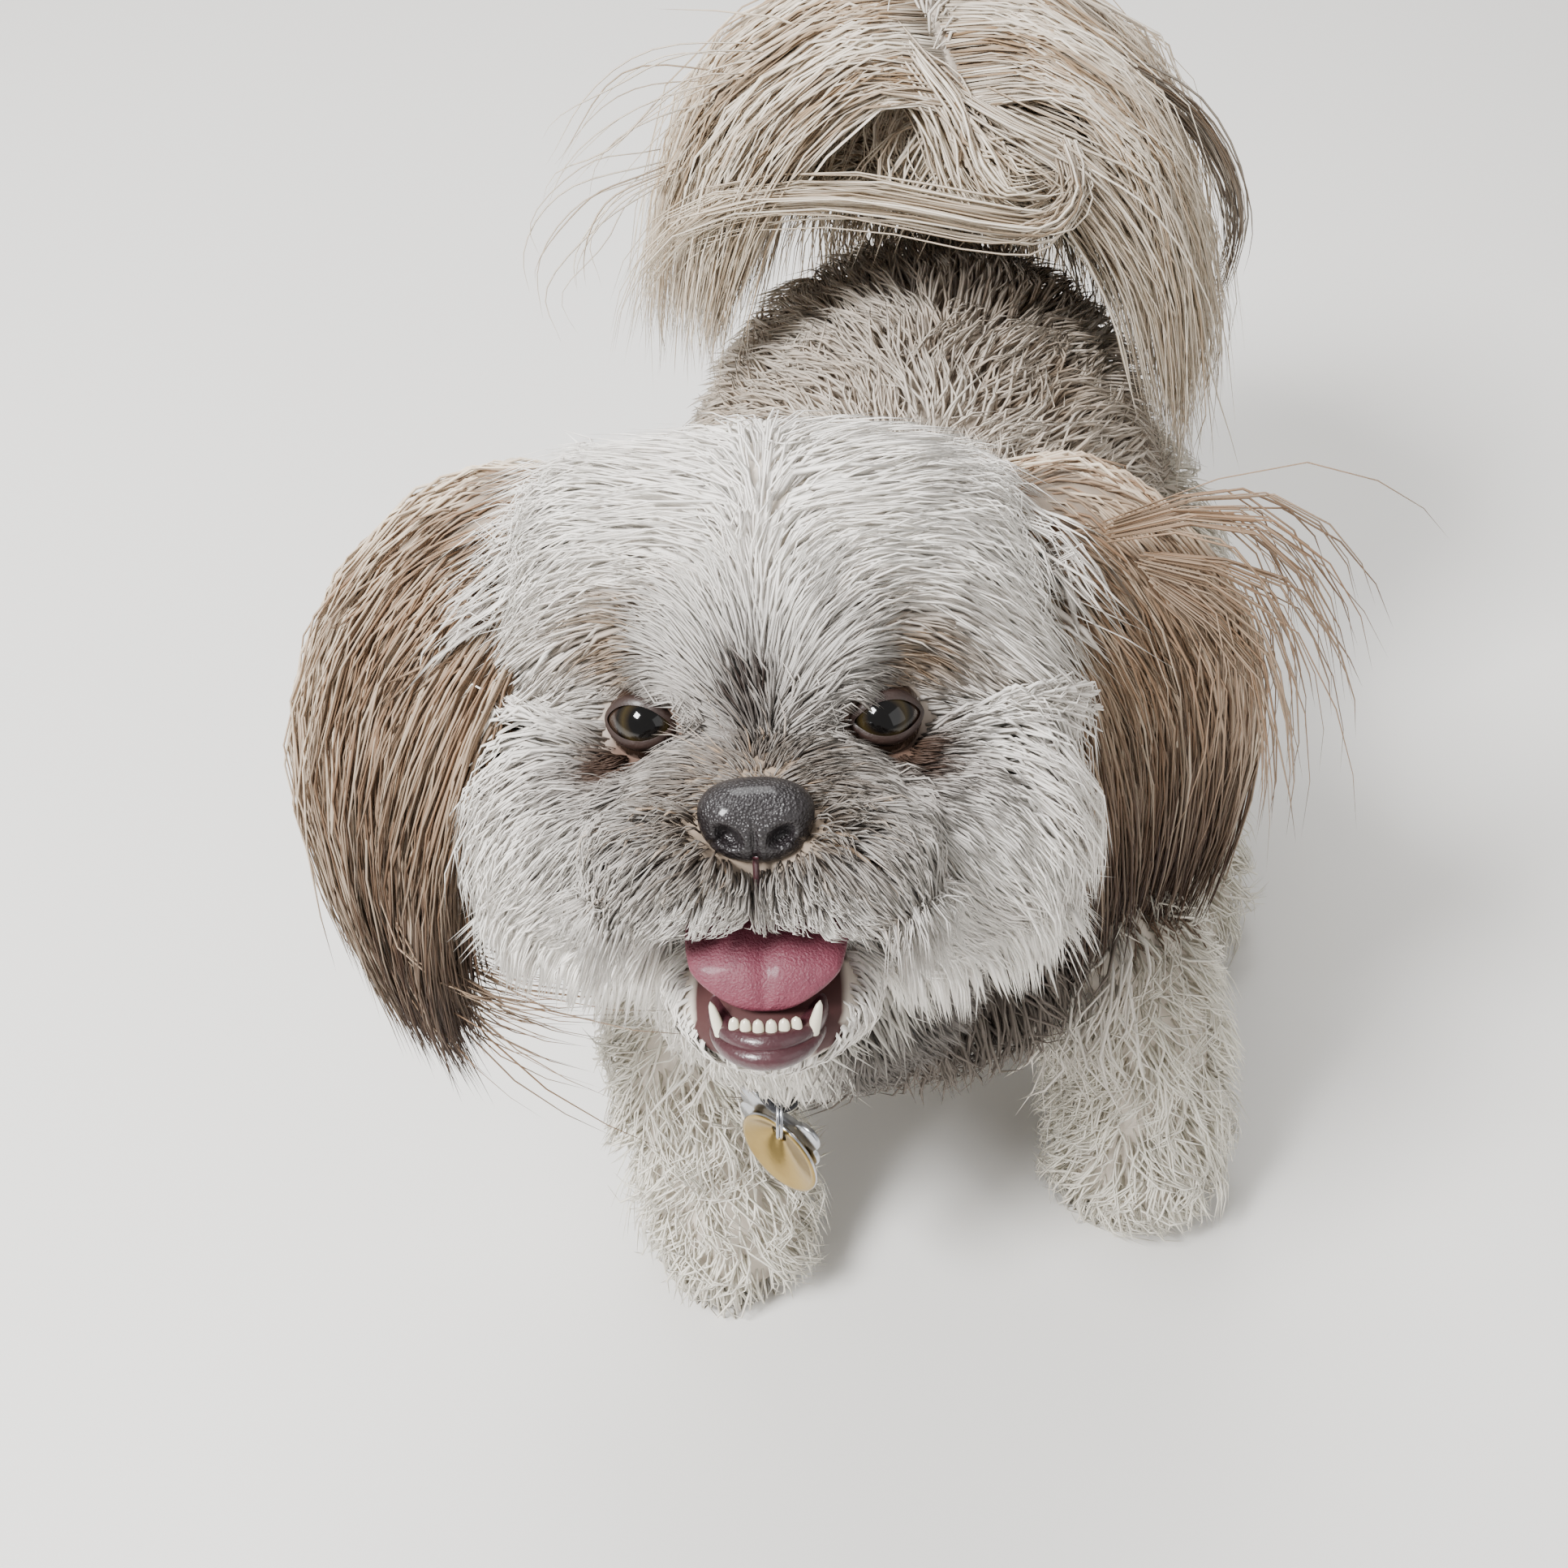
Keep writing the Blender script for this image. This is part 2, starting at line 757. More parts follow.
def strand_group() -> bpy.types.NodeTree:
    """Builds the effect of single hairs inside a tuft.

    Returns:
        A group that turns a place across and along a tuft into a light mask and a height.
    """
    group = new_group(
        "Hair Strands",
        [("Across", NUMBER, 0.5), ("Along", NUMBER, 0.0), ("Vary", NUMBER, 0.0), ("Count", NUMBER, 5.0)],
        [("Light", NUMBER), ("Height", NUMBER)],
    )
    nodes = Nodes(group)
    given = group.nodes["Group Input"].outputs
    strands = nodes.math("MULTIPLY", given["Across"], given["Count"])
    shifted = nodes.math("MULTIPLY_ADD", given["Vary"], 60.0, strands)
    stretched = nodes.math("MULTIPLY", given["Along"], 1.4)
    place = nodes.add("ShaderNodeCombineXYZ", {"X": shifted, "Y": stretched})
    grain = nodes.add(
        "ShaderNodeTexNoise", {"Vector": place.outputs[0], "Scale": 1.6, "Detail": 2.0, "Roughness": 0.6}
    )
    out = group.nodes["Group Output"]
    group.links.new(grain.outputs["Fac"], out.inputs["Light"])
    group.links.new(grain.outputs["Fac"], out.inputs["Height"])
    return group


def coat_group() -> bpy.types.NodeTree:
    """Builds the coat's colour from its markings.

    Returns:
        A group that mixes the named colours by the masks and lightens the tips.
    """
    group = new_group(
        "Coat Colour",
        [
            ("Cream", COLOUR, (1, 1, 1, 1)), ("Beige", COLOUR, (1, 1, 1, 1)), ("Dark", COLOUR, (0, 0, 0, 1)),
            ("Stain", COLOUR, (0, 0, 0, 1)), ("Tip", COLOUR, (1, 1, 1, 1)),
            ("Beige Mask", NUMBER, 0.0), ("Dark Mask", NUMBER, 0.0), ("Stain Mask", NUMBER, 0.0),
            ("Along", NUMBER, 0.0), ("Vary", NUMBER, 0.5), ("Light", NUMBER, 0.5),
            ("Tip Amount", NUMBER, 0.3),
        ],
        [("Colour", COLOUR)],
    )
    nodes = Nodes(group)
    given = group.nodes["Group Input"].outputs
    wander = nodes.math("MULTIPLY_ADD", given["Vary"], 0.36, -0.18)
    beige = nodes.math("ADD", given["Beige Mask"], nodes.math("MULTIPLY", wander, given["Beige Mask"]))
    beige = nodes.math("MINIMUM", nodes.math("MAXIMUM", beige, 0.0), 1.0)
    colour = nodes.mix(beige, given["Cream"], given["Beige"])
    ends = nodes.math("MULTIPLY", nodes.math("POWER", given["Along"], 1.6), given["Tip Amount"])
    colour = nodes.mix(ends, colour, given["Tip"])
    colour = nodes.mix(given["Dark Mask"], colour, given["Dark"])
    colour = nodes.mix(given["Stain Mask"], colour, given["Stain"])
    value = nodes.math("MULTIPLY_ADD", given["Light"], 0.36, 0.82)
    value = nodes.math("MULTIPLY_ADD", wander, 0.5, value)
    near = nodes.math("MINIMUM", nodes.math("MULTIPLY", given["Along"], 3.0), 1.0)
    root = nodes.math("MULTIPLY_ADD", near, 0.2, 0.8)
    value = nodes.math("MULTIPLY", value, root)
    grey = nodes.add("ShaderNodeCombineXYZ", {"X": value, "Y": value, "Z": value}).outputs[0]
    colour = nodes.mix(1.0, colour, grey, "MULTIPLY")
    group.links.new(colour, group.nodes["Group Output"].inputs["Colour"])
    return group


@dataclass(frozen=True)
class HairFinish:
    """The finish of a coat: its colours from root to tip and how much its ends are bleached."""

    name: str
    cream: str = "F1ECE2"
    beige: str = "AD9A86"
    dark: str = "5E4E42"
    stain: str = "7A5E4A"
    tip: str = "F3ECDF"
    tip_amount: float = 0.45
    roughness: float = 0.58
    strands: float = 5.0

    def material(self, groups: dict[str, bpy.types.NodeTree]) -> bpy.types.Material:
        """Builds the material.

        Args:
            groups: The shared node groups, by name.

        Returns:
            The material.
        """
        made = bpy.data.materials.new(self.name)
        made.use_nodes = True
        nodes = Nodes(made.node_tree)
        shader = made.node_tree.nodes["Principled BSDF"]
        along, vary = nodes.attribute("along"), nodes.attribute("vary")
        strands = nodes.add(
            "ShaderNodeGroup",
            node_tree=groups["strands"],
        )
        for key, value in (("Across", nodes.attribute("across")), ("Along", along), ("Vary", vary)):
            made.node_tree.links.new(value, strands.inputs[key])
        strands.inputs["Count"].default_value = self.strands
        coat = nodes.add("ShaderNodeGroup", node_tree=groups["coat"])
        for key, code in (
            ("Cream", self.cream), ("Beige", self.beige), ("Dark", self.dark),
            ("Stain", self.stain), ("Tip", self.tip),
        ):
            coat.inputs[key].default_value = shade(code)
        coat.inputs["Tip Amount"].default_value = self.tip_amount
        for key, value in (
            ("Beige Mask", nodes.attribute("mid")), ("Dark Mask", nodes.attribute("dark")),
            ("Stain Mask", nodes.attribute("stain")), ("Along", along), ("Vary", vary),
            ("Light", strands.outputs["Light"]),
        ):
            made.node_tree.links.new(value, coat.inputs[key])
        made.node_tree.links.new(coat.outputs["Colour"], shader.inputs["Base Color"])
        shader.inputs["Roughness"].default_value = self.roughness
        shader.inputs["Specular IOR Level"].default_value = 0.25
        return made


@dataclass(frozen=True)
class WetFinish:
    """A bare, moist or polished surface: two colours in soft blotches under a clear coat."""

    name: str
    main: str
    other: str
    roughness: float = 0.45
    coat: float = 0.3
    scale: float = 300.0
    bump: float = 0.3
    cells: bool = False
    metallic: float = 0.0
    attribute: str = ""

    def material(self) -> bpy.types.Material:
        """Builds the material, with its pores or blotches as bump."""
        made = bpy.data.materials.new(self.name)
        made.use_nodes = True
        nodes = Nodes(made.node_tree)
        shader = made.node_tree.nodes["Principled BSDF"]
        place = nodes.add("ShaderNodeTexCoord").outputs["Object"]
        blotch = nodes.add("ShaderNodeTexNoise", {"Vector": place, "Scale": self.scale * 0.4, "Detail": 3.0})
        factor = blotch.outputs["Fac"]
        if self.attribute:
            factor = nodes.math("MULTIPLY", nodes.attribute(self.attribute), nodes.math("ADD", factor, 0.5))
        colour = nodes.mix(factor, shade(self.main), shade(self.other))
        made.node_tree.links.new(colour, shader.inputs["Base Color"])
        kind = "ShaderNodeTexVoronoi" if self.cells else "ShaderNodeTexNoise"
        grain = nodes.add(kind, {"Vector": place, "Scale": self.scale * 3})
        bump = nodes.add(
            "ShaderNodeBump", {"Strength": self.bump, "Distance": 0.0006, "Height": grain.outputs[0]}
        )
        made.node_tree.links.new(bump.outputs["Normal"], shader.inputs["Normal"])
        shader.inputs["Roughness"].default_value = self.roughness
        shader.inputs["Coat Weight"].default_value = self.coat
        shader.inputs["Coat Roughness"].default_value = 0.12
        shader.inputs["Metallic"].default_value = self.metallic
        return made


@dataclass
class Skin:
    """One closed skin over the whole dog, under the coat."""

    trunk_depth: float = -12.0
    neck_depth: float = -12.5
    leg_depth: float = -10.0
    voxel: float = 3.0
    made: Optional[bpy.types.Object] = None
    points: Array = field(default_factory=lambda: np.zeros((0, 3)))
    tris: Array = field(default_factory=lambda: np.zeros((0, 3), int))
    tree: Optional[BVHTree] = None
    place: tuple = ()

    def solids(self) -> list[tuple[Array, list]]:
        """Lists the closed bodies that the skin is drawn over."""
        parts = [
            LIMBS[Region.TORSO].solid(64, 72, self.trunk_depth),
            LIMBS[Region.NECK].solid(64, 48, self.neck_depth),
            LIMBS[Region.TAIL].solid(28, 48, -2.0),
            LIMBS[Region.JAW].solid(40, 36, -1.0),
            head_solid(120, 90, -1.5),
        ]
        parts += [LIMBS[leg].solid(36, 48, self.leg_depth, 5.0, FLOOR_CLEAR) for leg in LEGS]
        for ear in (Region.EAR_R, Region.EAR_L):
            limb = LIMBS[ear]
            parts.append(Limb(limb.stations[:LEATHER_STATIONS], limb.across).solid(32, 32, 0.0))
        return parts

    def build(self) -> bpy.types.Object:
        """Draws the skin over the bodies, opens the mouth and stores the skin's own map.

        Returns:
            The skin.
        """
        points, faces = merge(self.solids())
        self.made = new_mesh("skin", points, faces)
        remesh = self.made.modifiers.new("remesh", "REMESH")
        remesh.mode, remesh.voxel_size = "VOXEL", self.voxel * MM
        remesh.use_smooth_shade = True
        soften = self.made.modifiers.new("soften", "SMOOTH")
        soften.factor, soften.iterations = 0.5, 4
        apply_modifiers(self.made)
        cavity, cavity_faces = egg(MOUTH, 0.0, 48, 32)
        cutter = new_mesh("mouth_cutter", to_dog(cavity), cavity_faces)
        cut = self.made.modifiers.new("mouth", "BOOLEAN")
        cut.operation, cut.object, cut.solver = "DIFFERENCE", cutter, "MANIFOLD"
        bpy.context.view_layer.update()
        apply_modifiers(self.made)
        bpy.data.objects.remove(cutter)
        self.read()
        self.mark()
        return self.made

    def read(self) -> None:
        """Keeps the skin's points and triangles in the dog's frame, with a search tree."""
        mesh = self.made.data
        mesh.calc_loop_triangles()
        co = np.empty(len(mesh.vertices) * 3)
        mesh.vertices.foreach_get("co", co)
        self.points = from_row(co.reshape(-1, 3))
        tris = np.empty(len(mesh.loop_triangles) * 3, int)
        mesh.loop_triangles.foreach_get("vertices", tris)
        self.tris = tris.reshape(-1, 3)
        self.tree = BVHTree.FromPolygons(self.points.tolist(), self.tris.tolist())
        self.place = region_of(self.points)

    def mark(self) -> None:
        """Stores the markings and the map on the skin."""
        mesh = self.made.data
        label, along, turn = self.place
        marks = markings(self.points, label, along)
        head = to_head(self.points)
        from_mouth = (((head - np.array(MOUTH[:3])) / (np.array(MOUTH[3:]) + 3.0)) ** 2).sum(-1)
        inside = np.clip((1.15 - from_mouth) / 0.25, 0, 1)
        gums = (np.abs(head[:, 0]) < 19) & (head[:, 1] < 42) & (head[:, 2] < -40) & (head[:, 2] > -65)
        inside = np.maximum(inside, gums)
        for name, values in (
            ("mid", marks.mid), ("dark", marks.dark), ("stain", marks.stain),
            ("mouth", inside),
        ):
            point_attribute(mesh, name, values)
        vertices = np.empty(len(mesh.loops), int)
        mesh.loops.foreach_get("vertex_index", vertices)
        starts = np.empty(len(mesh.polygons), int)
        mesh.polygons.foreach_get("loop_start", starts)
        totals = np.empty(len(mesh.polygons), int)
        mesh.polygons.foreach_get("loop_total", totals)
        first = np.repeat(vertices[starts], totals)
        own = label[first]
        spots = chart(own, along[vertices], turn[vertices])
        lead = chart(own, along[first], turn[first])
        width = (1 - 2 * CHART_MARGIN) / CHART_COLUMNS
        spots[:, 0] -= width * np.round((spots[:, 0] - lead[:, 0]) / width)
        mixed = label[vertices] != own
        spots[mixed] = lead[mixed]
        layer = mesh.uv_layers.new(name=BAKE_MAP)
        layer.data.foreach_set("uv", spots.ravel())

    def dress(self, groups: dict[str, bpy.types.NodeTree]) -> None:
        """Gives the skin the coat's colours, a little darker, and a dark red mouth."""
        made = bpy.data.materials.new("skin_under_coat")
        made.use_nodes = True
        nodes = Nodes(made.node_tree)
        shader = made.node_tree.nodes["Principled BSDF"]
        coat = nodes.add("ShaderNodeGroup", node_tree=groups["coat"])
        for key, code in (
            ("Cream", "D9CFC2"), ("Beige", "8D7B69"), ("Dark", "4A3D34"), ("Stain", "5E4638"),
            ("Tip", "D9CFC2"),
        ):
            coat.inputs[key].default_value = shade(code)
        coat.inputs["Along"].default_value = 0.4
        coat.inputs["Tip Amount"].default_value = 0.0
        for key, name in (("Beige Mask", "mid"), ("Dark Mask", "dark"), ("Stain Mask", "stain")):
            made.node_tree.links.new(nodes.attribute(name), coat.inputs[key])
        colour = nodes.mix(nodes.attribute("mouth"), coat.outputs["Colour"], shade("42201F"))
        made.node_tree.links.new(colour, shader.inputs["Base Color"])
        shader.inputs["Roughness"].default_value = 0.7
        self.made.data.materials.clear()
        self.made.data.materials.append(made)
        attach(
            self.made, "coat_body", "head", "jaw", "neck", "torso", "foreleg_r", "foreleg_l",
            "hindleg_r", "hindleg_l", "tail", "ear_r", "ear_l",
        )

    def nearest(self, points: Array) -> tuple[Array, Array]:
        """Finds the closest points of the skin.

        Args:
            points: Points in the dog's frame.

        Returns:
            The closest points and the skin's outward normals there.
        """
        found = np.empty_like(points)
        normals = np.empty_like(points)
        search = self.tree.find_nearest
        for i, point in enumerate(points.tolist()):
            spot, normal, _, _ = search(point)
            found[i], normals[i] = spot, normal
        return found, normals

    def scatter(self, count: int, weight: Callable, rng: np.random.Generator) -> tuple[Array, Array, Array]:
        """Draws roots over the skin.

        Args:
            count: How many.
            weight: Gives the density wanted at points, from their places and regions.
            rng: The seeded draws.

        Returns:
            Roots, normals and the numbers of the points nearest to them.
        """
        a, b, c = (self.points[self.tris[:, k]] for k in range(3))
        cross = np.cross(b - a, c - a)
        area = np.linalg.norm(cross, axis=-1) / 2
        label, along, turn = (values[self.tris[:, 0]] for values in self.place)
        chance = area * np.maximum(weight((a + b + c) / 3, label, along, turn, unit(cross)), 0)
        picks = rng.choice(len(area), count, p=chance / chance.sum())
        r1, r2 = rng.random((2, count, 1))
        flip = (r1 + r2) > 1
        r1, r2 = np.where(flip, 1 - r1, r1), np.where(flip, 1 - r2, r2)
        roots = a[picks] + (b - a)[picks] * r1 + (c - a)[picks] * r2
        return roots, unit(cross)[picks], self.tris[picks, 0]


@dataclass
class Tufts:
    """Many tufts of hair as centre lines with a width, ready to become one mesh."""

    lines: Array
    out: Array
    width: Array
    chart: Array
    marks: Markings
    vary: Array
    flat: float = 0.45

    def clump(self, share: float, pull: float, rng: np.random.Generator) -> None:
        """Draws the ends of neighbouring tufts together.

        Args:
            share: The share of tufts that lead a clump.
            pull: How far an end moves towards its leader's, 0 to 1.
            rng: The seeded draws.
        """
        count = len(self.lines)
        leaders = rng.choice(count, max(1, int(count * share)), replace=False)
        tree = KDTree(len(leaders))
        for k, leader in enumerate(leaders):
            tree.insert(self.lines[leader, 0], k)
        tree.balance()
        found = [tree.find(root)[1:] for root in self.lines[:, 0]]
        chosen = leaders[[index for index, _ in found]]
        gap = np.array([distance for _, distance in found])[:, None, None]
        steps = self.lines.shape[1]
        s = (np.linspace(0, 1, steps) ** 1.4)[None, :, None]
        pulls = pull * (0.6 + 0.4 * rng.random((count, 1, 1))) * smooth(20, 8, gap)
        self.lines += (self.lines[chosen] - self.lines) * s * pulls

    def along_tufts(self, values: Array, steps: int) -> Array:
        """Gives each point of the mesh its tuft's value, or its step's where there is one for each."""
        if values.ndim == 1:
            values = np.repeat(values[:, None], steps, axis=1)
        return np.hstack([np.repeat(values[:, :-1], 3, axis=1), values[:, -1:]]).ravel()

    def mesh(self, name: str, finish: bpy.types.Material) -> bpy.types.Object:
        """Builds the tufts as one mesh of three-sided, tapered strands.

        Args:
            name: The piece's name.
            finish: Its material.

        Returns:
            The object, with its map and attributes.
        """
        lines = self.lines.copy()
        lines[..., 2] = np.maximum(lines[..., 2], FLOOR_CLEAR)
        count, steps, _ = lines.shape
        ahead = np.empty_like(lines)
        ahead[:, 1:-1] = lines[:, 2:] - lines[:, :-2]
        ahead[:, 0] = lines[:, 1] - lines[:, 0]
        ahead[:, -1] = lines[:, -1] - lines[:, -2]
        ahead = unit(ahead)
        side = unit(np.cross(ahead, self.out[:, None, :]))
        over = np.cross(side, ahead)
        s = np.linspace(0, 1, steps)
        swell = (0.75 + 0.5 * s) * (1 - s**2.4)
        half = (self.width[:, None] * swell[None])[..., None] / 2
        rings = np.stack(
            [lines - side * half, lines + over * half * self.flat * 2, lines + side * half], axis=2
        )[:, :-1]
        points = np.concatenate([rings.reshape(count, -1, 3), lines[:, -1:]], axis=1)
        points[..., 2] = np.maximum(points[..., 2], FLOOR_CLEAR * 0.5)
        per = points.shape[1]
        rows = steps - 1
        quads = []
        for i in range(rows - 1):
            for j in range(3):
                n = (j + 1) % 3
                quads.append((i * 3 + j, (i + 1) * 3 + j, (i + 1) * 3 + n, i * 3 + n))
        tips = [((rows - 1) * 3 + j, per - 1, (rows - 1) * 3 + (j + 1) % 3) for j in range(3)]
        tips.append((0, 1, 2))
        base = (np.arange(count) * per)[:, None]
        quad_loops = (np.array(quads).ravel()[None] + base).ravel()
        tip_loops = (np.array(tips).ravel()[None] + base).ravel()
        loops = np.concatenate([quad_loops, tip_loops])
        totals = np.concatenate([np.full(count * len(quads), 4), np.full(count * len(tips), 3)])
        starts = np.concatenate([[0], np.cumsum(totals)[:-1]])
        mesh = bpy.data.meshes.new(name)
        mesh.vertices.add(count * per)
        mesh.vertices.foreach_set("co", to_row(points).astype(np.float32).ravel())
        mesh.loops.add(len(loops))
        mesh.loops.foreach_set("vertex_index", loops.astype(np.int32))
        mesh.polygons.add(len(totals))
        mesh.polygons.foreach_set("loop_start", starts.astype(np.int32))
        mesh.polygons.foreach_set("use_smooth", np.ones(len(totals), bool))
        mesh.update(calc_edges=True)
        mesh.validate()
        along = np.append(np.repeat(s[:-1], 3), 1.0)
        across = np.append(np.tile([0.0, 0.5, 1.0], rows), 0.5)
        for key, values in (("along", along), ("across", across)):
            point_attribute(mesh, key, np.tile(values, count))
        for key, values in (
            ("vary", self.vary), ("mid", self.marks.mid), ("dark", self.marks.dark),
            ("stain", self.marks.stain),
        ):
            point_attribute(mesh, key, self.along_tufts(values, steps))
        patch = np.column_stack([across - 0.5, along - 0.5]) * PATCH
        spots = (self.chart[:, None, :] + patch[None]).reshape(-1, 2)
        order = np.empty(len(mesh.loops), int)
        mesh.loops.foreach_get("vertex_index", order)
        layer = mesh.uv_layers.new(name=BAKE_MAP)
        layer.data.foreach_set("uv", spots[order].ravel())
        made = bpy.data.objects.new(name, mesh)
        bpy.context.scene.collection.objects.link(made)
        mesh.materials.append(finish)
        return made


def comb_head(points: Array) -> Array:
    """Gives the way that the hair of the head lies at points of the dog's frame."""
    h = to_head(points)
    x, y, z = h.T
    side = np.tanh(x / 9)
    parting = np.exp(-((x / 7) ** 2))
    crown = np.column_stack([side * 0.95, 0.35 + 0.5 * parting, -0.1 - 0.7 * smooth(24, 58, np.abs(x))])
    cheek = np.column_stack([side * 0.7, 0.2 + 0 * x, -0.7 + 0 * x])
    rays = unit((h - np.array([0, 12, 4])) * np.array([1.3, 0.6, 1.2]))
    lips = np.column_stack([side * 0.75, -0.1 + 0 * x, -0.75 + 0 * x])
    high = smooth(4, 34, z)[:, None]
    flow = unit(crown) * high + unit(cheek) * (1 - high)
    muzzle = (smooth(46, 26, y) * smooth(60, 38, np.abs(x)))[:, None]
    low = smooth(-4, -14, z)[:, None]
    flow = flow * (1 - muzzle) + (rays * (1 - low) + unit(lips) * low) * muzzle
    between = bell(h, (0, 44, 30), (13, 16, 18))[:, None]
    flow = flow * (1 - between) + unit(np.column_stack([side * 0.45, 0.5 + 0 * x, 0.75 + 0 * x])) * between
    for sign in (-1, 1):
        off = h - np.array([sign * EYE_SPOT[0], EYE_SPOT[1], EYE_SPOT[2]])
        near = np.exp(-((np.maximum(np.linalg.norm(off, axis=-1) - 11, 0) / 6) ** 2))[:, None]
        above = smooth(2, 9, off[:, 2])[:, None]
        lid = unit(np.array([sign * 0.85, -0.15, -0.42]))
        flow = flow * (1 - near) + (unit(off) * (1 - above) + lid * above) * near
    return unit(flow) @ HEAD_TURN.T


def comb_trunk(points: Array, label: Array, along: Array, turn: Array) -> Array:
    """Gives the way that the hair of the torso, neck, jaw and legs lies."""
    x, y, _ = points.T
    zero = 0 * x
    centre = LIMBS[Region.TORSO].frames(np.clip(along, 0, 1))[0][:, 0]
    side = np.tanh((x - centre) / 30)
    back = unit(np.column_stack([side * 0.45, 0.75 + zero, -0.3 - 0.5 * np.abs(side)]))
    chest = smooth(-110, -160, y)[:, None]
    down = unit(np.column_stack([side * 0.15, -0.1 + zero, -1 + zero]))
    flow = back * (1 - chest) + down * chest
    neck = label == Region.NECK.value
    ahead = LIMBS[Region.NECK].frames(np.clip(along, 0, 1))[1]
    ruff = unit(-ahead + np.array([0, 0, -0.5]))
    flow = np.where(neck[:, None], ruff, flow)
    legs = np.isin(label, [leg.value for leg in LEGS])
    hang = unit(np.column_stack([zero, 0.12 + zero, -1 + zero]))
    flow = np.where(legs[:, None], hang, flow)
    for ear in (Region.EAR_R, Region.EAR_L):
        own = label == ear.value
        flow = np.where(own[:, None], LIMBS[ear].frames(np.clip(along, 0, 1))[1], flow)
    jaw = label == Region.JAW.value
    beard = unit(np.array([0, -0.35, -0.9])) + zero[:, None]
    return unit(np.where(jaw[:, None], beard, flow))


def head_fill(points: Array) -> Array:
    """Gives how far the hair stands off to bridge the hollows beside the muzzle, eyes and ears."""
    h = to_head(points)
    way = unit(h - np.array(HEAD_MIDDLE))
    hollow = head_reach(way, 4.0, HEAD_EGGS[:1] + HEAD_EGGS[2:]) - head_reach(way)
    hollow = np.clip(hollow, 0, 9) * smooth(34, 8, h[:, 2])
    side = h.copy()
    side[:, 0] = np.abs(h[:, 0])
    temple = 10 * bell(side, (61, 68, 12), (14, 34, 22))
    corner = 13 * bell(side, (52, 82, 62), (20, 34, 24))
    throat = 8 * bell(side, (38, 60, -42), (16, 26, 14))
    by_eye = bell(side, EYE_SPOT, (13, 15, 12))
    return (hollow + temple + corner + throat) * (1 - by_eye)


def head_length(points: Array) -> Array:
    """Gives the length of the hair on the head, shortest by the nose and the eyes."""
    h = to_head(points)
    from_nose = np.linalg.norm(h - np.array([0, 6, -1]), axis=-1)
    length = 5 + 25 * smooth(12, 46, from_nose) + 12 * smooth(52, 80, from_nose)
    flews = smooth(-4, -14, h[:, 2]) * smooth(44, 24, h[:, 1]) * smooth(8, 16, np.abs(h[:, 0]))
    length = np.maximum(length, 30 * flews)
    lip = smooth(-6, -12, h[:, 2]) * smooth(40, 30, h[:, 1])
    length = np.minimum(length, 4.5 + 40 * (1 - lip) + 36 * smooth(15, 34, np.abs(h[:, 0])))
    for sign in (-1, 1):
        off = np.linalg.norm(h - np.array([sign * EYE_SPOT[0], EYE_SPOT[1], EYE_SPOT[2]]), axis=-1)
        length = np.minimum(length, 7 + 30 * smooth(11, 34, off))
    return length


def bare_face(points: Array) -> Array:
    """Marks the places of the head where no hair grows: nose, eyes, lips and mouth."""
    h = to_head(points)
    nose = ((h - np.array([0, 4, -1])) / np.array([13.9, 9.8, 10.9])) ** 2
    mouth = (h - np.array(MOUTH[:3])) / (np.array(MOUTH[3:]) + 1.6)
    bare = (nose.sum(-1) < 1) | ((mouth**2).sum(-1) < 1)
    for sign in (-1, 1):
        off = h - np.array([sign * EYE_SPOT[0], EYE_SPOT[1], EYE_SPOT[2]])
        bare |= np.linalg.norm(off, axis=-1) < EYE_RADIUS - 0.4
    gums = (np.abs(h[:, 0]) < 17) & (h[:, 1] < 40) & (h[:, 2] < -44) & (h[:, 2] > -64)
    return bare | gums


